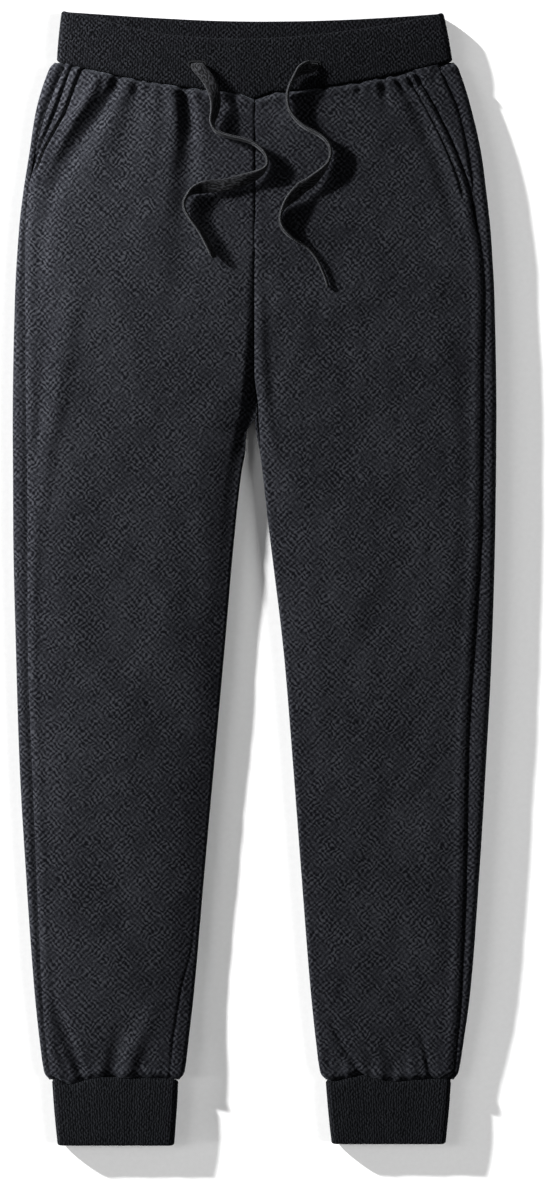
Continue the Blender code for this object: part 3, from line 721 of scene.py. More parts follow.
def waist_seam_y(x, facing):
    """Height of the seam between waistband and panels; facing is 1 on the front, 0 underneath."""
    bow = 1 - np.minimum(np.abs(x) / WAIST_SEAM_REACH, 1.0) ** WAIST_SEAM_POWER
    dip = WAIST_V_DEPTH * (1 - smoothstep(np.abs(x) / WAIST_V_HALF)) * facing
    return WAIST_SEAM_SIDE_Y - WAIST_SEAM_DROP * bow - dip


def cuff_seam_y(side, x, facing):
    return CUFF_SEAM_Y + facing * steady_curve(x, *zip(*CUFF_WAVER[side]))


def eased_height(side, row_y, x, facing):
    """Height of a panel's row at x: its ends follow the waist seam and the cuff seam."""
    waist = smoothstep((row_y - WAIST_SEAM_SIDE_Y + WAIST_EASE) / WAIST_EASE)
    cuff = smoothstep((CUFF_SEAM_Y + CUFF_EASE - row_y) / CUFF_EASE)
    to_waist = waist_seam_y(x, facing) - WAIST_SEAM_SIDE_Y
    to_cuff = cuff_seam_y(side, x, facing) - CUFF_SEAM_Y
    return row_y + to_waist * waist + to_cuff * cuff


def cloth_grid(side, row_heights, distances, facing):
    """Points [row, column, xyz] of a stretch of cloth. distances(section) gives its columns."""
    sections = [Section(side, y) for y in row_heights]
    flat = np.array([line.at(distances(line)) for line in sections])
    heights = np.repeat(row_heights[:, None], flat.shape[1], axis=1)

    def read(part):
        columns = range(flat.shape[1])
        return np.column_stack(
            [np.interp(heights[:, c], row_heights, flat[:, c, part]) for c in columns]
        )

    for _ in range(EASE_STEPS):
        heights = eased_height(side, row_heights[:, None], SIGN[side] * read(0), facing)
    return np.stack([SIGN[side] * read(0), heights, read(1)], axis=2)


# %% [markdown]
# ## Creases
#
# The creases that give the garment its character are placed one by one. Each is a short line with a
# half width and a height at every point: minus is a trough, plus a ridge. The many small gathers at
# the waist and the cuffs come from a seeded list instead, and a slow swell keeps the flat areas
# from looking machined.

# %% Creases placed one by one
# Every point of a crease is (x, y, half width, height).
CREASES = [
    # Beside the left pocket, and on down the outer thigh
    [(-115, 427, 4.5, -3.6), (-121, 414, 8, -3.8), (-129, 401, 12, -4.2), (-138, 387, 14, -4.6),
     (-148, 371, 15, -4.6), (-158, 356, 15, -4.2), (-167, 340, 13, -3.2), (-174, 322, 11, -2.0),
     (-180, 290, 9, -1.2), (-184, 236, 8, -0.4)],
    [(-130, 428, 7, 2.0), (-140, 410, 8, 2.4), (-155, 386, 8, 2.2), (-170, 358, 7, 1.2)],
    [(-160, 436, 5, -1.6), (-165, 428, 6, -2.8), (-178, 397, 6, -3.2), (-187, 362, 5, -2.2),
     (-191, 336, 4, -0.8)],
    [(-108, 422, 6, 1.2), (-114, 404, 10, 1.6), (-122, 380, 14, 1.4), (-134, 352, 16, 0.8)],
    # Below the left buttonhole
    [(-61, 417, 6.5, -4.8), (-58, 402, 8, -5.0), (-56, 386, 10.5, -4.6), (-56, 364, 13, -3.2),
     (-57, 340, 16, -2.2), (-59, 300, 18, -1.2), (-62, 230, 20, -0.5)],
    [(-71, 418, 8, 2.6), (-69, 404, 9, 2.8), (-68, 386, 11, 2.2), (-70, 350, 14, 1.2),
     (-74, 300, 16, 0.4)],
    [(-50, 416, 6, 1.6), (-46, 400, 8, 1.4), (-42, 372, 12, 0.8)],
    [(-99, 424, 3.5, -2.6), (-100, 416, 3.5, -1.8), (-103, 404, 5, -0.5)],
    [(-105, 424, 4, 1.6), (-107, 414, 5, 0.9)],
    [(-93, 422, 4, 1.4), (-93, 412, 5, 0.8)],
    [(-90, 422, 2.5, -1.8), (-90, 415, 3, -1.0), (-91, 407, 3, -0.2)],
    [(-68, 420, 3, -2.0), (-67, 414, 3, -1.2), (-67, 406, 3, -0.2)],
    [(-84, 419, 8, 1.0), (-86, 402, 14, 1.6), (-88, 360, 26, 1.6), (-90, 300, 34, 1.0)],
    [(-80, 420, 3, -1.6), (-79, 413, 3, -1.0), (-79, 404, 4, -0.2)],
    # Front of the left leg: the ridge that leaves the side seam, the thigh and the knee
    [(-150, 250, 14, 0.5), (-158, 217, 14, 1.3), (-164, 166, 13, 1.5), (-176, 112, 12, 1.5),
     (-183, 55, 10, 1.4), (-188, 0, 9, 1.2), (-190, -60, 9, 0.8)],
    [(-176, 214, 9, -0.7), (-181, 150, 8, -0.9), (-189, 90, 5, -0.6)],
    [(-106, 10, 14, -0.5), (-90, -20, 20, -0.9), (-96, -52, 16, -0.6), (-112, -80, 12, -0.3)],
    [(-150, -60, 16, 0.4), (-128, -90, 18, 0.6), (-100, -130, 20, 0.4)],
    [(-60, 60, 18, -0.6), (-52, 0, 16, -0.7), (-58, -70, 14, -0.4)],
    [(-120, -190, 22, 0.5), (-96, -260, 20, 0.5), (-100, -320, 16, 0.3)],
    # Between the legs
    [(40, 205, 14, 0.5), (28, 170, 14, 0.7), (20, 140, 10, 0.4)],
    # Above the left cuff
    [(-176, -352, 8, -1.0), (-166, -372, 9, -2.2), (-157, -396, 9, -3.2), (-147, -422, 7, -3.8)],
    [(-179, -380, 5, 0.9), (-172, -402, 6, 1.5), (-163, -420, 6, 1.6)],
    [(-84, -362, 12, 0.6), (-95, -384, 12, 1.6), (-103, -402, 11, 2.4), (-109, -422, 9, 2.8)],
    [(-114, -384, 10, -0.8), (-118, -404, 10, -2.0), (-122, -424, 10, -3.0)],
    [(-140, -412, 5, -0.4), (-138, -423, 5, -1.0)],
    [(-90, -404, 8, -0.4), (-94, -421, 8, -0.8)],
    # The inseam that has rolled onto the front of the left shin
    [(-46, -250, 2.2, -0.2), (-53, -315, 2.2, -1.1), (-62, -348, 2.2, -1.4),
     (-69, -391, 2.2, -1.5), (-72, -424, 2.2, -1.5)],
    # Beside the right pocket
    [(118, 427, 4, -1.6), (127, 412, 8, -2.6), (138, 398, 11, -3.0), (146, 382, 12, -2.8),
     (154, 360, 12, -2.2), (162, 334, 12, -1.6), (172, 300, 9, -0.8)],
    [(110, 426, 3, -2.2), (111, 414, 4, -1.6), (111, 398, 6, -0.8)],
    [(104, 426, 4, 2.0), (103, 412, 6, 1.0)],
    [(116, 426, 3, 1.8), (122, 415, 4, 1.4), (130, 404, 5, 0.6)],
    [(124, 425, 2.5, 1.8), (129, 416, 3, 1.0)],
    [(128.5, 427, 1.6, -1.8), (134, 417, 2, -1.2)],
    [(133, 428, 2.5, 2.0), (138, 419, 3, 1.2)],
    [(137, 430, 1.6, -1.8), (142, 421, 2, -1.0)],
    [(141, 431, 2.5, 1.6), (146, 423, 3, 0.8)],
    [(72, 419, 4, 0.7), (74, 404, 8, 0.5)],
    [(58, 418, 3, -1.4), (60, 408, 4, -0.5)],
    [(88, 422, 3, -1.6), (89, 412, 4, -0.6)],
    [(80, 380, 30, 0.8), (90, 320, 34, 0.6)],
    # Front of the right leg
    [(150, 240, 14, 0.4), (166, 170, 12, 0.7), (172, 90, 10, 0.6), (170, 0, 10, 0.3)],
    [(130, 20, 16, -0.4), (104, -30, 20, -0.8), (88, -64, 16, -0.5)],
    [(66, 40, 16, 0.4), (76, -20, 18, 0.6), (96, -90, 18, 0.4)],
    [(140, -120, 18, -0.4), (120, -170, 20, -0.6), (104, -230, 18, -0.3)],
    # Above the right cuff
    [(66, -376, 5, -0.9), (72, -392, 5, -1.8), (82, -408, 4, -2.4), (91, -422, 4, -2.8)],
    [(76, -412, 4, 0.6), (80, -423, 4, 1.4)],
    [(128, -372, 8, -0.8), (140, -384, 7, -1.1), (145, -400, 4, -1.8), (149, -423, 3.5, -2.8)],
    [(132, -402, 6, 0.6), (136, -422, 6, 1.2)],
    [(156, -404, 5, 0.6), (157, -423, 5, 1.2)],
    [(104, -396, 8, 0.5), (106, -421, 8, 1.3)],
    [(118, -410, 4, -0.4), (118, -424, 4, -1.0)],
]

# Between the legs the left front sinks and the right front stands beside it, so each has its own.
OWN_CREASES = {
    "front_left": [
        [(1, 270, 6, -0.8), (1, 225, 8, -2.0), (1, 195, 10, -3.8), (1, 168, 12, -6.4),
         (0, 145, 12, -8.2), (-3, 130, 12, -6.6), (-9, 112, 11, -3.4), (-16, 80, 11, -2.0),
         (-22, 30, 9, -1.0)]
    ],
    "front_right": [
        [(5, 240, 6, 0.5), (6, 190, 8, 1.3), (8, 160, 8, 2.0), (10, 138, 9, 2.2), (17, 104, 9, 1.0)]
    ],
}


def crease_height(x, y, points):
    """What one crease adds to the cloth at (x, y), from its nearest stretch."""
    nearest = np.full(x.shape, np.inf)
    height = np.zeros(x.shape)
    for (x0, y0, width0, height0), (x1, y1, width1, height1) in zip(points, points[1:]):
        run_x, run_y = x1 - x0, y1 - y0
        share = ((x - x0) * run_x + (y - y0) * run_y) / (run_x**2 + run_y**2)
        share = np.clip(share, 0.0, 1.0)
        off = np.hypot(x - x0 - share * run_x, y - y0 - share * run_y)
        off /= width0 + (width1 - width0) * share
        height = np.where(off < nearest, height0 + (height1 - height0) * share, height)
        nearest = np.minimum(nearest, off)
    return height * (1 - smoothstep(nearest))


# %% Small gathers and the slow swell
GATHER_SEED = 11
GATHER_LEAN = 0.25
GATHER_HEIGHTS = (0.4, 1.5)
GATHER_WIDTHS = (0.4, 0.75)
GATHER_STEPS = (0.6, 1.5)
GATHER_MIDDLE = (1.2, 0.6)
GATHER_END_WIDTH = 1.5
GatherRun = namedtuple("GatherRun", "first last spacing length height")
WAIST_GATHERS = GatherRun(-150, 166, 7.0, (8, 24), 1.0)
CUFF_GATHERS = {
    "left": GatherRun(-168, -68, 9.0, (12, 34), 0.6),
    "right": GatherRun(64, 164, 7.0, (9, 30), 0.7),
}
SWELLS = [(70.0, 0.45), (26.0, 0.16), (11.0, 0.05)]
SWELL_WAVES = 9
SWELL_STRETCH = (0.7, 1.4)


def gathers(run, seam_y, away, random):
    """Short ridges and troughs that leave a seam at uneven distances; away is -1 down, +1 up."""
    made = []
    x = run.first
    while x < run.last:
        length = random.uniform(*run.length)
        shift = random.uniform(-GATHER_LEAN, GATHER_LEAN) * length
        height = run.height * random.uniform(*GATHER_HEIGHTS) * (-1) ** len(made)
        width = run.spacing * random.uniform(*GATHER_WIDTHS)
        start_y = float(seam_y(x))
        wider, lower = GATHER_MIDDLE
        middle = (x + shift / 2, start_y + away * length / 2, width * wider, height * lower)
        end = (x + shift, start_y + away * length, width * GATHER_END_WIDTH, 0.0)
        made.append([(x, start_y, width, height), middle, end])
        x += run.spacing * random.uniform(*GATHER_STEPS)
    return made


def all_gathers():
    random = np.random.default_rng(GATHER_SEED)
    made = gathers(WAIST_GATHERS, lambda x: waist_seam_y(x, 1.0), -1.0, random)
    for side, run in CUFF_GATHERS.items():
        made += gathers(run, lambda x, side=side: cuff_seam_y(side, x, 1.0), 1.0, random)
    return made


def swell(x, y, random):
    """A slow unevenness: waves of a few lengths, each in its own direction."""
    height = np.zeros(x.shape)
    for length, size in SWELLS:
        for _ in range(SWELL_WAVES):
            angle, phase = random.uniform(0.0, 2 * math.pi, 2)
            wave = 2 * math.pi / (length * random.uniform(*SWELL_STRETCH))
            height += size * np.sin((x * np.cos(angle) + y * np.sin(angle)) * wave + phase)
    return height / math.sqrt(SWELL_WAVES)


GATHERS = all_gathers()
print("creases by hand:", len(CREASES), "small gathers:", len(GATHERS))

# %% [markdown]
# ## Shaping a panel
#
# A sewn edge rolls inwards, so it shows as a dark groove, and the seam allowance under it lifts
# the cloth beside it into a soft ridge. Where one panel laps over the next, its edge stays high
# and the other sinks. So each of a panel's four edges has its own depth and reach.

# %% Edges of a panel
FOLD_SHARE = 0.15
SEAM_RIDGE_AT = 5.5
SEAM_RIDGE_WIDTH = 3.6
TOPSTITCH_GROOVE = 2.6
TOPSTITCH_WIDTH = 1.5
TOPSTITCH_EASE = 12.0
TOPSTITCH_START = 6.0
POCKET_FOOT = {"left": 340.0, "right": 318.0}

# How far the topstitching lies from the pocket mouth, as (y, distance)
TOPSTITCH_INSETS = {
    "left": [(340.0, 3.0), (362.0, 3.6), (393.0, 7.6), (439.0, 8.2)],
    "right": [(318.0, 6.0), (439.0, 6.6)],
}

Edge = namedtuple("Edge", "dip reach ridge")
WAIST_EDGE = Edge(4.0, 2.3, 1.1)
CUFF_EDGE = Edge(2.6, 2.6, 1.0)
INNER_EDGES = {
    "front_left": Edge(0.8, 1.2, 0.1),
    "front_right": Edge(0.9, 1.2, 0.25),
    "back_left": Edge(1.0, 2.0, 0.3),
    "back_right": Edge(1.0, 2.0, 0.3),
}
OUTER_EDGES = {
    "front_left": Edge(0.6, 1.3, 0.7),
    "front_right": Edge(0.7, 1.2, 0.9),
    "back_left": Edge(1.5, 3.0, 0.0),
    "back_right": Edge(2.0, 4.5, 0.0),
}


def edge_shape(distance, edge):
    """The groove at a sewn edge, and the soft ridge beside it."""
    ridge = edge.ridge * bell(distance - SEAM_RIDGE_AT, SEAM_RIDGE_WIDTH)
    return ridge - edge.dip * bell(distance, edge.reach)


def topstitch_inset(side, y):
    return np.interp(y, *zip(*TOPSTITCH_INSETS[side]))


def topstitch_groove(side, grid, from_mouth):
    """The line of stitches beside the pocket mouth, pulled into the fleece."""
    open_part = smoothstep((grid[:, :, 1] - POCKET_FOOT[side]) / TOPSTITCH_EASE)
    off = from_mouth - topstitch_inset(side, grid[:, :, 1])
    return open_part * TOPSTITCH_GROOVE * bell(off, TOPSTITCH_WIDTH)


def seam_relief(name, side, grid, flatness):
    """The grooves and ridges along a panel's four sewn edges, and a front's topstitching."""
    from_inner = distances_along(grid, 1)
    from_outer = from_inner[:, -1:] - from_inner
    if name.startswith("back"):
        from_inner, from_outer = from_outer, from_inner
    from_cuff = distances_along(grid, 0)
    from_waist = from_cuff[-1:] - from_cuff
    relief = edge_shape(from_waist, WAIST_EDGE) + edge_shape(from_cuff, CUFF_EDGE)
    relief += edge_shape(from_inner, INNER_EDGES[name]) + edge_shape(from_outer, OUTER_EDGES[name])
    relief *= FOLD_SHARE + (1 - FOLD_SHARE) * flatness
    if name.startswith("front"):
        relief -= topstitch_groove(side, grid, from_outer)
    return relief


# %% Panel shaping
FLEECE_WALL = 2.4
OUTLINE_SHARE = 0.25
HIDDEN_SHARE = 0.45
LEAST_FRONT = 2 * FLEECE_WALL + 0.4
CROTCH_LEAN = 3.2
CROTCH_LEAN_TOP = 176.0
CROTCH_LEAN_TOP_EASE = 40.0
CROTCH_LEAN_FOOT = 94.0
CROTCH_LEAN_FOOT_EASE = 36.0
CROTCH_LEAN_WIDTH = 18.0
LEFT_LEAN_FOOT = 132.0
LEFT_LEAN_EASE = 12.0
CROTCH_ROOM_EASE = 40.0


def outward(grid, sign):
    """The way in which the cloth's outer side faces at each point."""
    along_rows = np.gradient(grid, axis=0)
    along_columns = np.gradient(grid, axis=1)
    return sign * unit(np.cross(along_columns, along_rows))


def crease_relief(x, y, name=""):
    """What all creases add at (x, y), with the named panel's own ones."""
    relief = np.zeros(x.shape)
    for points in CREASES + GATHERS + OWN_CREASES.get(name, []):
        relief += crease_height(x, y, points)
    return relief


def lean_at_crotch(name, grid):
    """Moves the line where the fronts meet to the right, most just above the leg opening."""
    x, y = grid[:, :, 0], grid[:, :, 1]
    reach = smoothstep((CROTCH_LEAN_TOP - y) / CROTCH_LEAN_TOP_EASE)
    reach *= smoothstep((y - CROTCH_LEAN_FOOT) / CROTCH_LEAN_FOOT_EASE)
    if name == "front_left":
        reach *= smoothstep((y - LEFT_LEAN_FOOT) / LEFT_LEAN_EASE)
    leaning = grid.copy()
    leaning[:, :, 0] += CROTCH_LEAN * reach * bell(x, CROTCH_LEAN_WIDTH)
    return leaning


def room_for_creases(side, grid):
    """1 in the middle of a half, and less towards its outline, which creases leave as it is."""
    across = SIGN[side] * grid[:, :, 0]
    y = grid[:, :, 1]
    outer = at_height(side, "outer", y) - FOLD_RADIUS - across
    above_crotch = smoothstep((y - CROTCH_Y) / CROTCH_ROOM_EASE + 1)
    inner = across - at_height(side, "inner", y) + SIDE_RISE * above_crotch
    return OUTLINE_SHARE + (1 - OUTLINE_SHARE) * rise_from_edge(np.minimum(outer, inner))


def shape_cloth(name, side, grid, random):
    """Presses seams, creases and the swell into a panel's grid, down to what it lies on."""
    lowest = 0.0
    if name.startswith("front"):
        grid = lean_at_crotch(name, grid)
        lowest = np.minimum(grid[:, :, 2], LEAST_FRONT)
    normal = outward(grid, SIGN[side])
    up = normal[:, :, 2]
    x, y = grid[:, :, 0], grid[:, :, 1]
    swelling = swell(x, y, random)
    above = np.clip(up, 0.0, 1.0)
    below = np.clip(-up, 0.0, 1.0)
    lift = above * (crease_relief(x, y, name) + swelling) * room_for_creases(side, grid)
    lift += below * HIDDEN_SHARE * (np.abs(crease_relief(-x, y)) + np.maximum(swelling, 0.0))
    shaped = grid + normal * seam_relief(name, side, grid, np.abs(up))[:, :, None]
    shaped[:, :, 2] = np.maximum(shaped[:, :, 2] + lift, lowest)
    return shaped


def cloth_piece(name, side, grid, wall, material):
    """The grid as an outer surface, with the cloth's thickness added inwards."""
    faces = grid_faces(*grid.shape[:2], flipped=SIGN[side] < 0)
    made = mesh_object(name, grid, faces, material)
    thicken = made.modifiers.new("thickness", "SOLIDIFY")
    thicken.thickness = wall * MM
    thicken.offset = -1.0
    return made


# %% Fleece panels
FRONT_COLUMNS = 104
FOLD_COLUMNS = 34
UNDER_COLUMNS = 52
PANEL_ROWS = 350
CROWDING = 0.62
SWELL_SEEDS = {"front_left": 3, "front_right": 5, "back_left": 7, "back_right": 9}


def front_distances(line):
    last = line.front_edge - SEAM_GAP / 2
    return line.first + (last - line.first) * crowded(FRONT_COLUMNS, CROWDING)


def back_distances(line):
    start = line.side_seam + SEAM_GAP / 2
    folded = start + (line.under_start - start) * np.linspace(0.0, 1.0, FOLD_COLUMNS)
    under = line.under_start + (line.last - line.under_start) * crowded(UNDER_COLUMNS, CROWDING)
    return np.concatenate([folded, under[1:]])


row_heights = CUFF_SEAM_Y + (WAIST_SEAM_SIDE_Y - CUFF_SEAM_Y) * crowded(PANEL_ROWS, CROWDING)
panel_grids = {}
for side_name in SIGN:
    for part, distances, facing in (("front", front_distances, 1.0), ("back", back_distances, 0.0)):
        node = part + "_" + side_name
        grid = cloth_grid(side_name, row_heights, distances, facing)
        random = np.random.default_rng(SWELL_SEEDS[node])
        panel_grids[node] = shape_cloth(node, side_name, grid, random)
        panel = cloth_piece("leg_" + node, side_name, panel_grids[node], FLEECE_WALL, fleece)
        place_piece(panel, node)
        print(panel.name, "points:", len(panel.data.vertices))

# %% [markdown]
# ## Pocket facings
#
# Between the slanted pocket mouth and the side seam lies a strip of the pocket's facing. It
# leaves the side seam level with the back panel and rolls down under the front panel, so there is
# a dark slit along the mouth.

# %% Pocket facings
FACING_WALL = 1.6
FACING_SUNK = 3.4
FACING_ROLL = 5.0
FACING_SEAM_DIP = 1.0
FACING_SEAM_REACH = 1.2
FACING_CREASES = 0.6
FACING_COLUMNS = 26
FACING_TUCK = 9.0
FACING_ROWS = 110


def facing_distances(line):
    first = line.side_seam - SEAM_GAP / 2
    last = line.front_edge - FACING_TUCK
    return first + (last - first) * np.linspace(0.0, 1.0, FACING_COLUMNS)


def facing_grid(side):
    """Columns run from under the front panel out to the side seam, as the panels' do."""
    rows = np.linspace(POCKET_FOOT[side], WAIST_SEAM_SIDE_Y, FACING_ROWS)
    grid = cloth_grid(side, rows, facing_distances, 1.0)
    mouths = [Section(side, y) for y in rows]
    shown = np.array([line.side_seam - line.front_edge for line in mouths])[:, None]
    from_seam = distances_along(grid, 1)
    sunk = FACING_SUNK * smoothstep((from_seam - shown + FACING_ROLL) / FACING_ROLL)
    grid[:, :, 2] -= sunk + FACING_SEAM_DIP * bell(from_seam, FACING_SEAM_REACH)
    grid[:, :, 2] += FACING_CREASES * crease_relief(grid[:, :, 0], grid[:, :, 1])
    return grid[:, ::-1]


for side_name in SIGN:
    grid = facing_grid(side_name)
    facing = cloth_piece("pocket_" + side_name, side_name, grid, FACING_WALL, fleece)
    place_piece(facing, "pocket_facing_" + side_name)
    print(facing.name, "points:", len(facing.data.vertices))

# %% [markdown]
# ## Rib bands
#
# The waistband and each cuff are tubes of rib folded double, pressed flat. A band's section goes
# up its outside, over the fold and down its inside. That section is carried round a pressed loop:
# across the front, round the fold, along the table and round the other fold. The waistband's
# front edge dips, so the inside of its back shows above it.

# %% Band helpers
LoopSteps = namedtuple("LoopSteps", "front fold under rows")
Band = namedtuple("Band", "size seam_line fold_line wall radius steps puff")
BAND_EDGE_STEPS = 9
BAND_ROW_POWER = 1.25
BAND_SEAM_ROLL = 1.5
BAND_SEAM_REACH = 0.9
CRINKLES = [(30.0, 0.10), (9.0, 0.03)]
CRINKLE_STRETCH = (0.6, 1.6)
CRINKLE_SEED = 21


def loop_stations(half_width, radius, steps):
    """Rows of (middle of the bend, angle round it, distance round the loop)."""
    flat = half_width - radius
    front = np.linspace(-flat, flat, steps.front + 1)
    under = np.linspace(flat, -flat, steps.under + 1)[1:]
    turn = np.linspace(0.0, math.pi, steps.fold + 1)[1:]
    middles = [front, np.full(steps.fold, flat), under, np.full(steps.fold - 1, -flat)]
    angles = [0 * front, turn, math.pi + 0 * under, math.pi + turn[:-1]]
    middles, angles = np.concatenate(middles), np.concatenate(angles)
    along = distances_along(np.column_stack([middles, radius * angles]))
    return np.column_stack([middles, angles, along])


def band_section(wall, seam_y, fold_y, rows):
    """Rows of (y, depth) up the outside of a folded band, over its fold and down its inside."""
    half_wall = math.copysign(wall / 2, fold_y - seam_y)
    straight = fold_y - half_wall
    heights = seam_y + (straight - seam_y) * np.linspace(0.0, 1.0, rows) ** BAND_ROW_POWER
    angle = np.linspace(0.0, math.pi, BAND_EDGE_STEPS + 1)[1:-1]
    over = [straight + half_wall * np.sin(angle), wall / 2 * (1 - np.cos(angle))]
    outside = [heights, np.zeros(rows)]
    inside = [heights[::-1], np.full(rows, wall)]
    return np.column_stack([np.concatenate(parts) for parts in zip(outside, over, inside)])


def edge_height(band, share, facing, line):
    """Height of a band's edge where it lies at that share of the band's half width."""
    y = line(0.0, facing)
    for _ in range(EASE_STEPS):
        centre, half_width = band.size(y)
        y = line(centre + share * half_width, facing)
    return float(y)


def crinkle(along, random):
    height = np.zeros(len(along))
    for length, size in CRINKLES:
        for _ in range(SWELL_WAVES):
            wave = 2 * math.pi / (length * random.uniform(*CRINKLE_STRETCH))
            height += size * np.sin(along * wave + random.uniform(0.0, 2 * math.pi))
    return height / math.sqrt(SWELL_WAVES)


def band_ring(band, seam_half, station, waver):
    """One section across a band, and how far up the band's map its points lie."""
    flat_x, angle, _ = station
    facing = (1 + math.cos(angle)) / 2
    share = (flat_x + band.radius * math.sin(angle)) / seam_half
    seam_y = edge_height(band, share, facing, band.seam_line)
    fold_y = edge_height(band, share, facing, band.fold_line)
    y, depth = band_section(band.wall, seam_y, fold_y, band.steps.rows).T
    up_share = np.clip((y - seam_y) / (fold_y - seam_y), 0.0, 1.0)
    outside = 1 - depth / band.wall
    proud = outside * facing * (band.puff * np.sin(math.pi * up_share) + waver)
    proud -= outside * BAND_SEAM_ROLL * bell(y - seam_y, BAND_SEAM_REACH)
    reach = band.radius - depth + proud
    centre, half_width = band.size(y)
    flat = flat_x * (half_width - band.radius) / (seam_half - band.radius)
    across = centre + flat + reach * math.sin(angle)
    z = np.maximum(band.radius + reach * math.cos(angle), 0.0)
    return np.column_stack([across, y, z]), np.abs(y - seam_y) + 2 * depth


def make_band(name, band, cloth, random):
    """A pressed loop of rib, with its map of distances round and up the band."""
    seam_half = band.size(band.seam_line(0.0, 1.0))[1]
    stations = loop_stations(seam_half, band.radius, band.steps)
    crinkles = crinkle(stations[:, 2], random)
    sections = [band_ring(band, seam_half, *both) for both in zip(stations, crinkles)]
    rings, heights = (np.array(parts) for parts in zip(*sections))
    upwards = band.fold_line(0.0, 1.0) > band.seam_line(0.0, 1.0)
    faces = grid_faces(*heights.shape, loop_rows=True, loop_columns=True, flipped=upwards)
    made = mesh_object(name, rings, faces, cloth)
    add_weave_map(made, np.repeat(stations[:, 2], heights.shape[1]), heights.ravel())
    return made


# %% Waistband
WAIST_TOP_Y = 480.5
WAIST_TOP_CENTRE = -1.8
WAIST_TOP_HALF = 162.6
WAIST_SEAM_HALF = 168.4
WAIST_FOLD_RADIUS = 5.2
WAISTBAND_WALL = 4.2
WAISTBAND_PUFF = 0.9
WAISTBAND_STEPS = LoopSteps(front=330, fold=12, under=170, rows=24)

# The waistband's top edge, as (x, height at the back, how far the front's edge dips below it)
WAIST_TOP = [
    (-166, 482.5, 0.0), (-134, 480.3, 4.6), (-80, 476.8, 14.2),
    (-21, 474.3, 16.0), (5, 474.0, 15.5), (39, 474.3, 13.6),
    (78, 475.5, 10.4), (124, 478.0, 5.8), (162, 480.8, 0.0),
]


def waistband_size(y):
    part = (y - WAIST_SEAM_SIDE_Y) / (WAIST_TOP_Y - WAIST_SEAM_SIDE_Y)
    half_width = WAIST_SEAM_HALF + (WAIST_TOP_HALF - WAIST_SEAM_HALF) * part
    return WAIST_TOP_CENTRE * part, half_width


def waistband_seam(x, facing):
    return waist_seam_y(x, facing) + SEAM_GAP


def waistband_top(x, facing):
    places, backs, dips = zip(*WAIST_TOP)
    return steady_curve(x, places, backs) - facing * steady_curve(x, places, dips)


random = np.random.default_rng(CRINKLE_SEED)
waist_shape = Band(
    waistband_size,
    waistband_seam,
    waistband_top,
    wall=WAISTBAND_WALL,
    radius=WAIST_FOLD_RADIUS,
    steps=WAISTBAND_STEPS,
    puff=WAISTBAND_PUFF,
)
waistband = make_band("waist_rib_band", waist_shape, waist_cloth, random)
place_piece(waistband, "waistband")
print(waistband.name, "points:", len(waistband.data.vertices))

# %% Cuffs
CUFF_RADIUS = 5.0
CUFF_WALL = 3.8
CUFF_PUFF = 0.7
CUFF_STEPS = LoopSteps(front=100, fold=12, under=60, rows=26)
CuffSize = namedtuple("CuffSize", "seam_centre seam_half hem_centre hem_half hem_y")
CUFFS = {
    "left": CuffSize(-118.6, 53.8, -118.0, 49.6, -482.5),
    "right": CuffSize(113.9, 53.4, 114.1, 48.5, -481.2),
}


def cuff_band(side):
    cuff = CUFFS[side]

    def size(y):
        part = (CUFF_SEAM_Y - y) / (CUFF_SEAM_Y - cuff.hem_y)
        centre = cuff.seam_centre + (cuff.hem_centre - cuff.seam_centre) * part
        return centre, cuff.seam_half + (cuff.hem_half - cuff.seam_half) * part

    def seam_line(x, facing):
        return cuff_seam_y(side, x, facing) - SEAM_GAP

    def hem_line(x, facing):
        return cuff.hem_y

    return Band(size, seam_line, hem_line, CUFF_WALL, CUFF_RADIUS, CUFF_STEPS, CUFF_PUFF)


for side_name in SIGN:
    cuff = make_band("cuff_rib_" + side_name, cuff_band(side_name), cuff_cloth, random)
    place_piece(cuff, "cuff_" + side_name)
    print(cuff.name, "points:", len(cuff.data.vertices))

# %% [markdown]
# ## Buttonholes and stitching
#
# The drawcord leaves the waistband through two sewn buttonholes. A small cutter opens the slot,
# and a ring of close stitches stands round it. The pocket mouths have one row of topstitching.
# Every stitch is a small bead of thread, and each row of them is one mesh.

# %% Stitches
BEAD_SIDES = 6
BEAD_RINGS = 5
BEAD_END = 0.2
BEAD_BLUNTNESS = 4
Stitch = namedtuple("Stitch", "length pitch radius sunk")
TOPSTITCH = Stitch(2.7, 3.3, 0.34, 0.1)
SATIN = Stitch(1.9, 0.62, 0.3, 0.1)


def beads(name, middles, ways, stitch):
    """One mesh of beads of thread, each round its middle and lying the way it's given."""
    ahead, side, up = directions_from(ways)
    angle = np.linspace(0.0, 2 * math.pi, BEAD_SIDES, endpoint=False)
    places = np.linspace(-1.0, 1.0, BEAD_RINGS)
    fat = stitch.radius * np.maximum(np.sqrt(1 - places**BEAD_BLUNTNESS), BEAD_END)
    ring = np.cos(angle)[:, None, None] * side + np.sin(angle)[:, None, None] * up
    points = middles + places[:, None, None, None] * ahead * stitch.length / 2
    points = (points + fat[:, None, None, None] * ring).transpose(2, 0, 1, 3)
    count = BEAD_RINGS * BEAD_SIDES
    starts = range(0, len(middles) * count, count)
    bead = tube_faces(BEAD_RINGS, BEAD_SIDES)
    faces = [[start + corner for corner in face] for start in starts for face in bead]
    return mesh_object(name, points, faces, thread)


def evenly_along(line, pitch):
    """Points at an even pitch along a line of points, and the way that it runs there."""
    along = distances_along(line)
    places = np.arange(pitch / 2, along[-1], pitch)
    return rows_at(places, along, line), rows_at(places, along, np.gradient(line, axis=0))


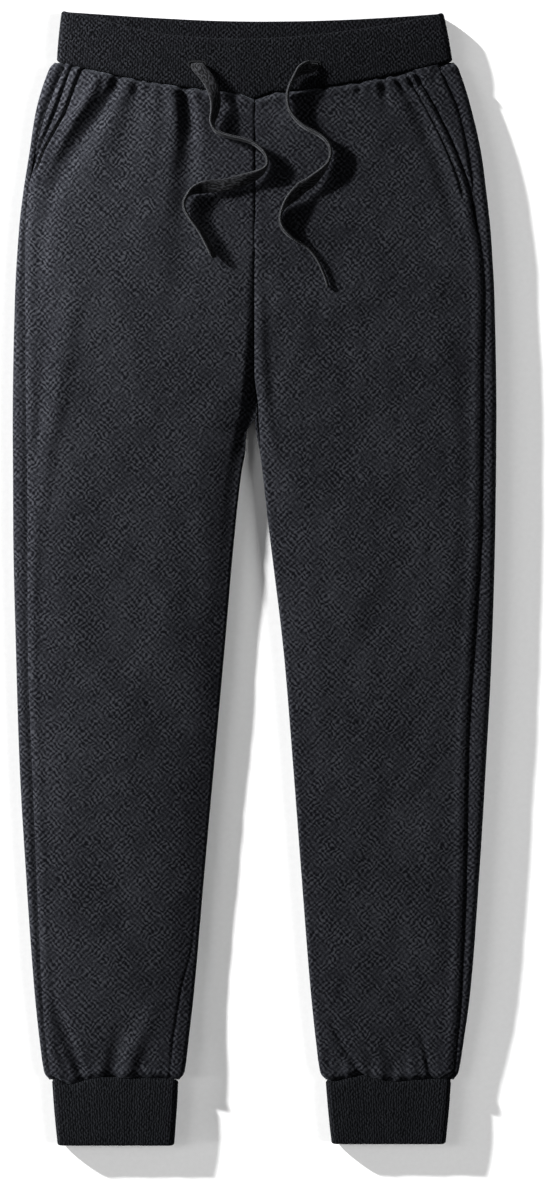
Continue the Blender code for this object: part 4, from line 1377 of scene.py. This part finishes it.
def topstitch_line(side):
    """The bottom of the groove beside the pocket mouth, on the shaped front panel."""
    grid = panel_grids["front_" + side]
    from_inner = distances_along(grid, 1)
    line = []
    for row, distances in zip(grid, from_inner):
        if row[-1, 1] > POCKET_FOOT[side] + TOPSTITCH_START:
            place = distances[-1] - topstitch_inset(side, row[-1, 1])
            line.append(rows_at(place, distances, row)[0])
    return np.array(line)[:-1]


for side_name in SIGN:
    middles, ways = evenly_along(topstitch_line(side_name), TOPSTITCH.pitch)
    middles[:, 2] += TOPSTITCH.radius - TOPSTITCH.sunk
    stitches = beads("topstitching_" + side_name, middles, ways, TOPSTITCH)
    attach(stitches, "root")
    print(stitches.name, "stitches:", len(middles))

# %% Buttonholes
SLOT_HALF = (6.6, 1.9)
SLOT_DEPTH = 3.0
SATIN_MARGIN = 0.7
SATIN_POINTS = 400
SATIN_SQUARENESS = 0.55


def cut_slot(side):
    """Opens the band under the drawcord with a box that reaches into its outer layer."""
    hole_x, hole_y = BUTTONHOLES[side]
    corners = [(i, j, k) for i in (-1, 1) for j in (-1, 1) for k in (-1, 1)]
    points = np.array(corners, float) * (*SLOT_HALF, SLOT_DEPTH)
    points += (hole_x, hole_y, BUTTONHOLE_LEVEL)
    faces = [(0, 1, 3, 2), (4, 6, 7, 5), (0, 4, 5, 1), (2, 3, 7, 6), (0, 2, 6, 4), (1, 5, 7, 3)]
    cutter = mesh_object("slot_cutter_" + side, points, faces, waist_cloth)
    cut = waistband.modifiers.new("buttonhole_" + side, "BOOLEAN")
    cut.operation = "DIFFERENCE"
    cut.object = cutter
    return cutter


def apply_cuts(cutters):
    """Keeps the cut band as its mesh, so the cutters can go."""
    graph = bpy.context.evaluated_depsgraph_get()
    cut_mesh = bpy.data.meshes.new_from_object(waistband.evaluated_get(graph))
    waistband.modifiers.clear()
    waistband.data = cut_mesh
    for cutter in cutters:
        bpy.data.objects.remove(cutter)


def satin_ring(side):
    """Stitches that stand round the slot like the rays of a sun, on the band's surface."""
    across, up = rounded_outline(SATIN_POINTS, SATIN_SQUARENESS)
    half_across, half_up = np.array(SLOT_HALF) + SATIN_MARGIN
    ring = np.column_stack([across * half_across, up * half_up, np.zeros(SATIN_POINTS)])
    middles, ways = evenly_along(np.vstack([ring, ring[:1]]), SATIN.pitch)
    middles[:, :2] += BUTTONHOLES[side]
    bpy.context.view_layer.update()
    for middle in middles:
        start = (middle[0] * MM, middle[1] * MM, 1.0)
        hit, place, _, _ = waistband.ray_cast(start, (0.0, 0.0, -1.0))
        middle[2] = place[2] / MM + SATIN.radius - SATIN.sunk if hit else BUTTONHOLE_LEVEL
    return beads("buttonhole_" + side, middles, np.cross(ways, (0.0, 0.0, 1.0)), SATIN)


rings = [satin_ring(side_name) for side_name in SIGN]
apply_cuts([cut_slot(side_name) for side_name in SIGN])
for ring in rings:
    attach(ring, "root")
    print(ring.name, "faces:", len(ring.data.polygons))

# %% [markdown]
# ## Table and light
#
# The table is a plain white sheet that runs out of sight. The light comes from the upper left at
# a low angle, which draws every crease. One sun lights the cloth and a lower one throws the long
# shadow on the table: light linking keeps each to its own surface, as a retoucher would with two
# exposures. Wide and faint suns fill the shadows of both, from overhead on the cloth and from both
# sides on the table. Three lamps on the left add the fall-off from left to right: a window beyond
# the top left corner, one by the hip and a strip along the leg. A faint sky does the rest.

# %% Table
TABLE_HALF = 15000.0
TABLE_LEVEL = -0.3
TABLE_FLECK = 4.0
TABLE_FINISH = Finish(0.8, 0.1, 0.0, (1.0, 1.0, 1.0), 0.1, 0.2)
TABLE_SHADES = [(0.3, (0.88, 0.88, 0.88)), (0.7, (0.91, 0.91, 0.91))]


def make_table():
    made = new_material("white_table", TABLE_FINISH)
    flecks = specks(made, object_place(made), TABLE_FLECK)
    connect_shader(made, colour_ramp(made, flecks, TABLE_SHADES), flecks, TABLE_FINISH)
    corners = np.array([(-1, -1, 0), (1, -1, 0), (1, 1, 0), (-1, 1, 0)], float) * TABLE_HALF
    corners[:, 2] = TABLE_LEVEL
    return mesh_object("table", corners, [(0, 1, 2, 3)], made)


table = make_table()

# %% Light
SKY_STRENGTH = 0.07

# Suns: strength, elevation and heading of the light's way in degrees, and width of the sun
Sun = namedtuple("Sun", "strength elevation heading width")
CLOTH_SUNS = {
    "cloth_sun": Sun(6.5, 25.0, -25.0, 3.5),
    "cloth_fill": Sun(0.38, 90.0, 0.0, 160.0),
}
TABLE_SUNS = {
    "table_sun": Sun(13.6, 11.6, -38.0, 1.8),
    "left_fill": Sun(0.75, 30.0, -10.0, 24.0),
    "right_fill": Sun(1.85, 30.0, 180.0, 24.0),
    "low_fill": Sun(5.6, 5.0, 180.0, 4.0),
}

# Lamps on the left: place, width, length, power, and the way that each one's light travels
Lamp = namedtuple("Lamp", "place width length power elevation heading")
LAMPS = {
    "window": Lamp((-500.0, 600.0, 250.0), 180.0, 180.0, 4.8, 27.0, -33.0),
    "hip_lamp": Lamp((-312.0, 411.0, 110.0), 120.0, 260.0, 0.58, 27.0, -25.0),
    "edge_lamp": Lamp((-275.0, 20.0, 60.0), 50.0, 1060.0, 1.16, 28.0, 0.0),
}


def link_light(lamp, state):
    """Lets the lamp light the table alone (INCLUDE) or everything but the table (EXCLUDE)."""
    linked = bpy.data.collections.new(lamp.name + "_link")
    linked.objects.link(table)
    linked.collection_objects[0].light_linking.link_state = state
    lamp.light_linking.receiver_collection = linked


def aim(light, way):
    """Turns a light to shine along heading degrees from +X, downwards at its elevation."""
    light.rotation_euler = (0.0, math.radians(way.elevation - 90.0), math.radians(way.heading))


def make_sun(name, sun):
    data = bpy.data.lights.new(name, "SUN")
    data.energy = sun.strength
    data.angle = math.radians(sun.width)
    made = link_object(name, data)
    aim(made, sun)
    return made


def make_lamp(name, lamp):
    data = bpy.data.lights.new(name, "AREA")
    data.shape = "RECTANGLE"
    data.size = lamp.width * MM
    data.size_y = lamp.length * MM
    data.energy = lamp.power
    made = link_object(name, data)
    made.location = np.array(lamp.place) * MM
    made.visible_camera = False
    aim(made, lamp)
    return made


def make_sky():
    world = bpy.data.worlds.new("sky")
    world.use_nodes = True
    background = world.node_tree.nodes["Background"]
    background.inputs["Color"].default_value = (1.0, 1.0, 1.0, 1.0)
    background.inputs["Strength"].default_value = SKY_STRENGTH
    bpy.context.scene.world = world


for sun_name, sun in CLOTH_SUNS.items():
    link_light(make_sun(sun_name, sun), "EXCLUDE")
for sun_name, sun in TABLE_SUNS.items():
    link_light(make_sun(sun_name, sun), "INCLUDE")
for lamp_name, lamp in LAMPS.items():
    link_light(make_lamp(lamp_name, lamp), "EXCLUDE")
make_sky()
bpy.context.scene.view_settings.view_transform = "Standard"

# %% [markdown]
# ## Last update

# %% Last update
bpy.context.view_layer.update()
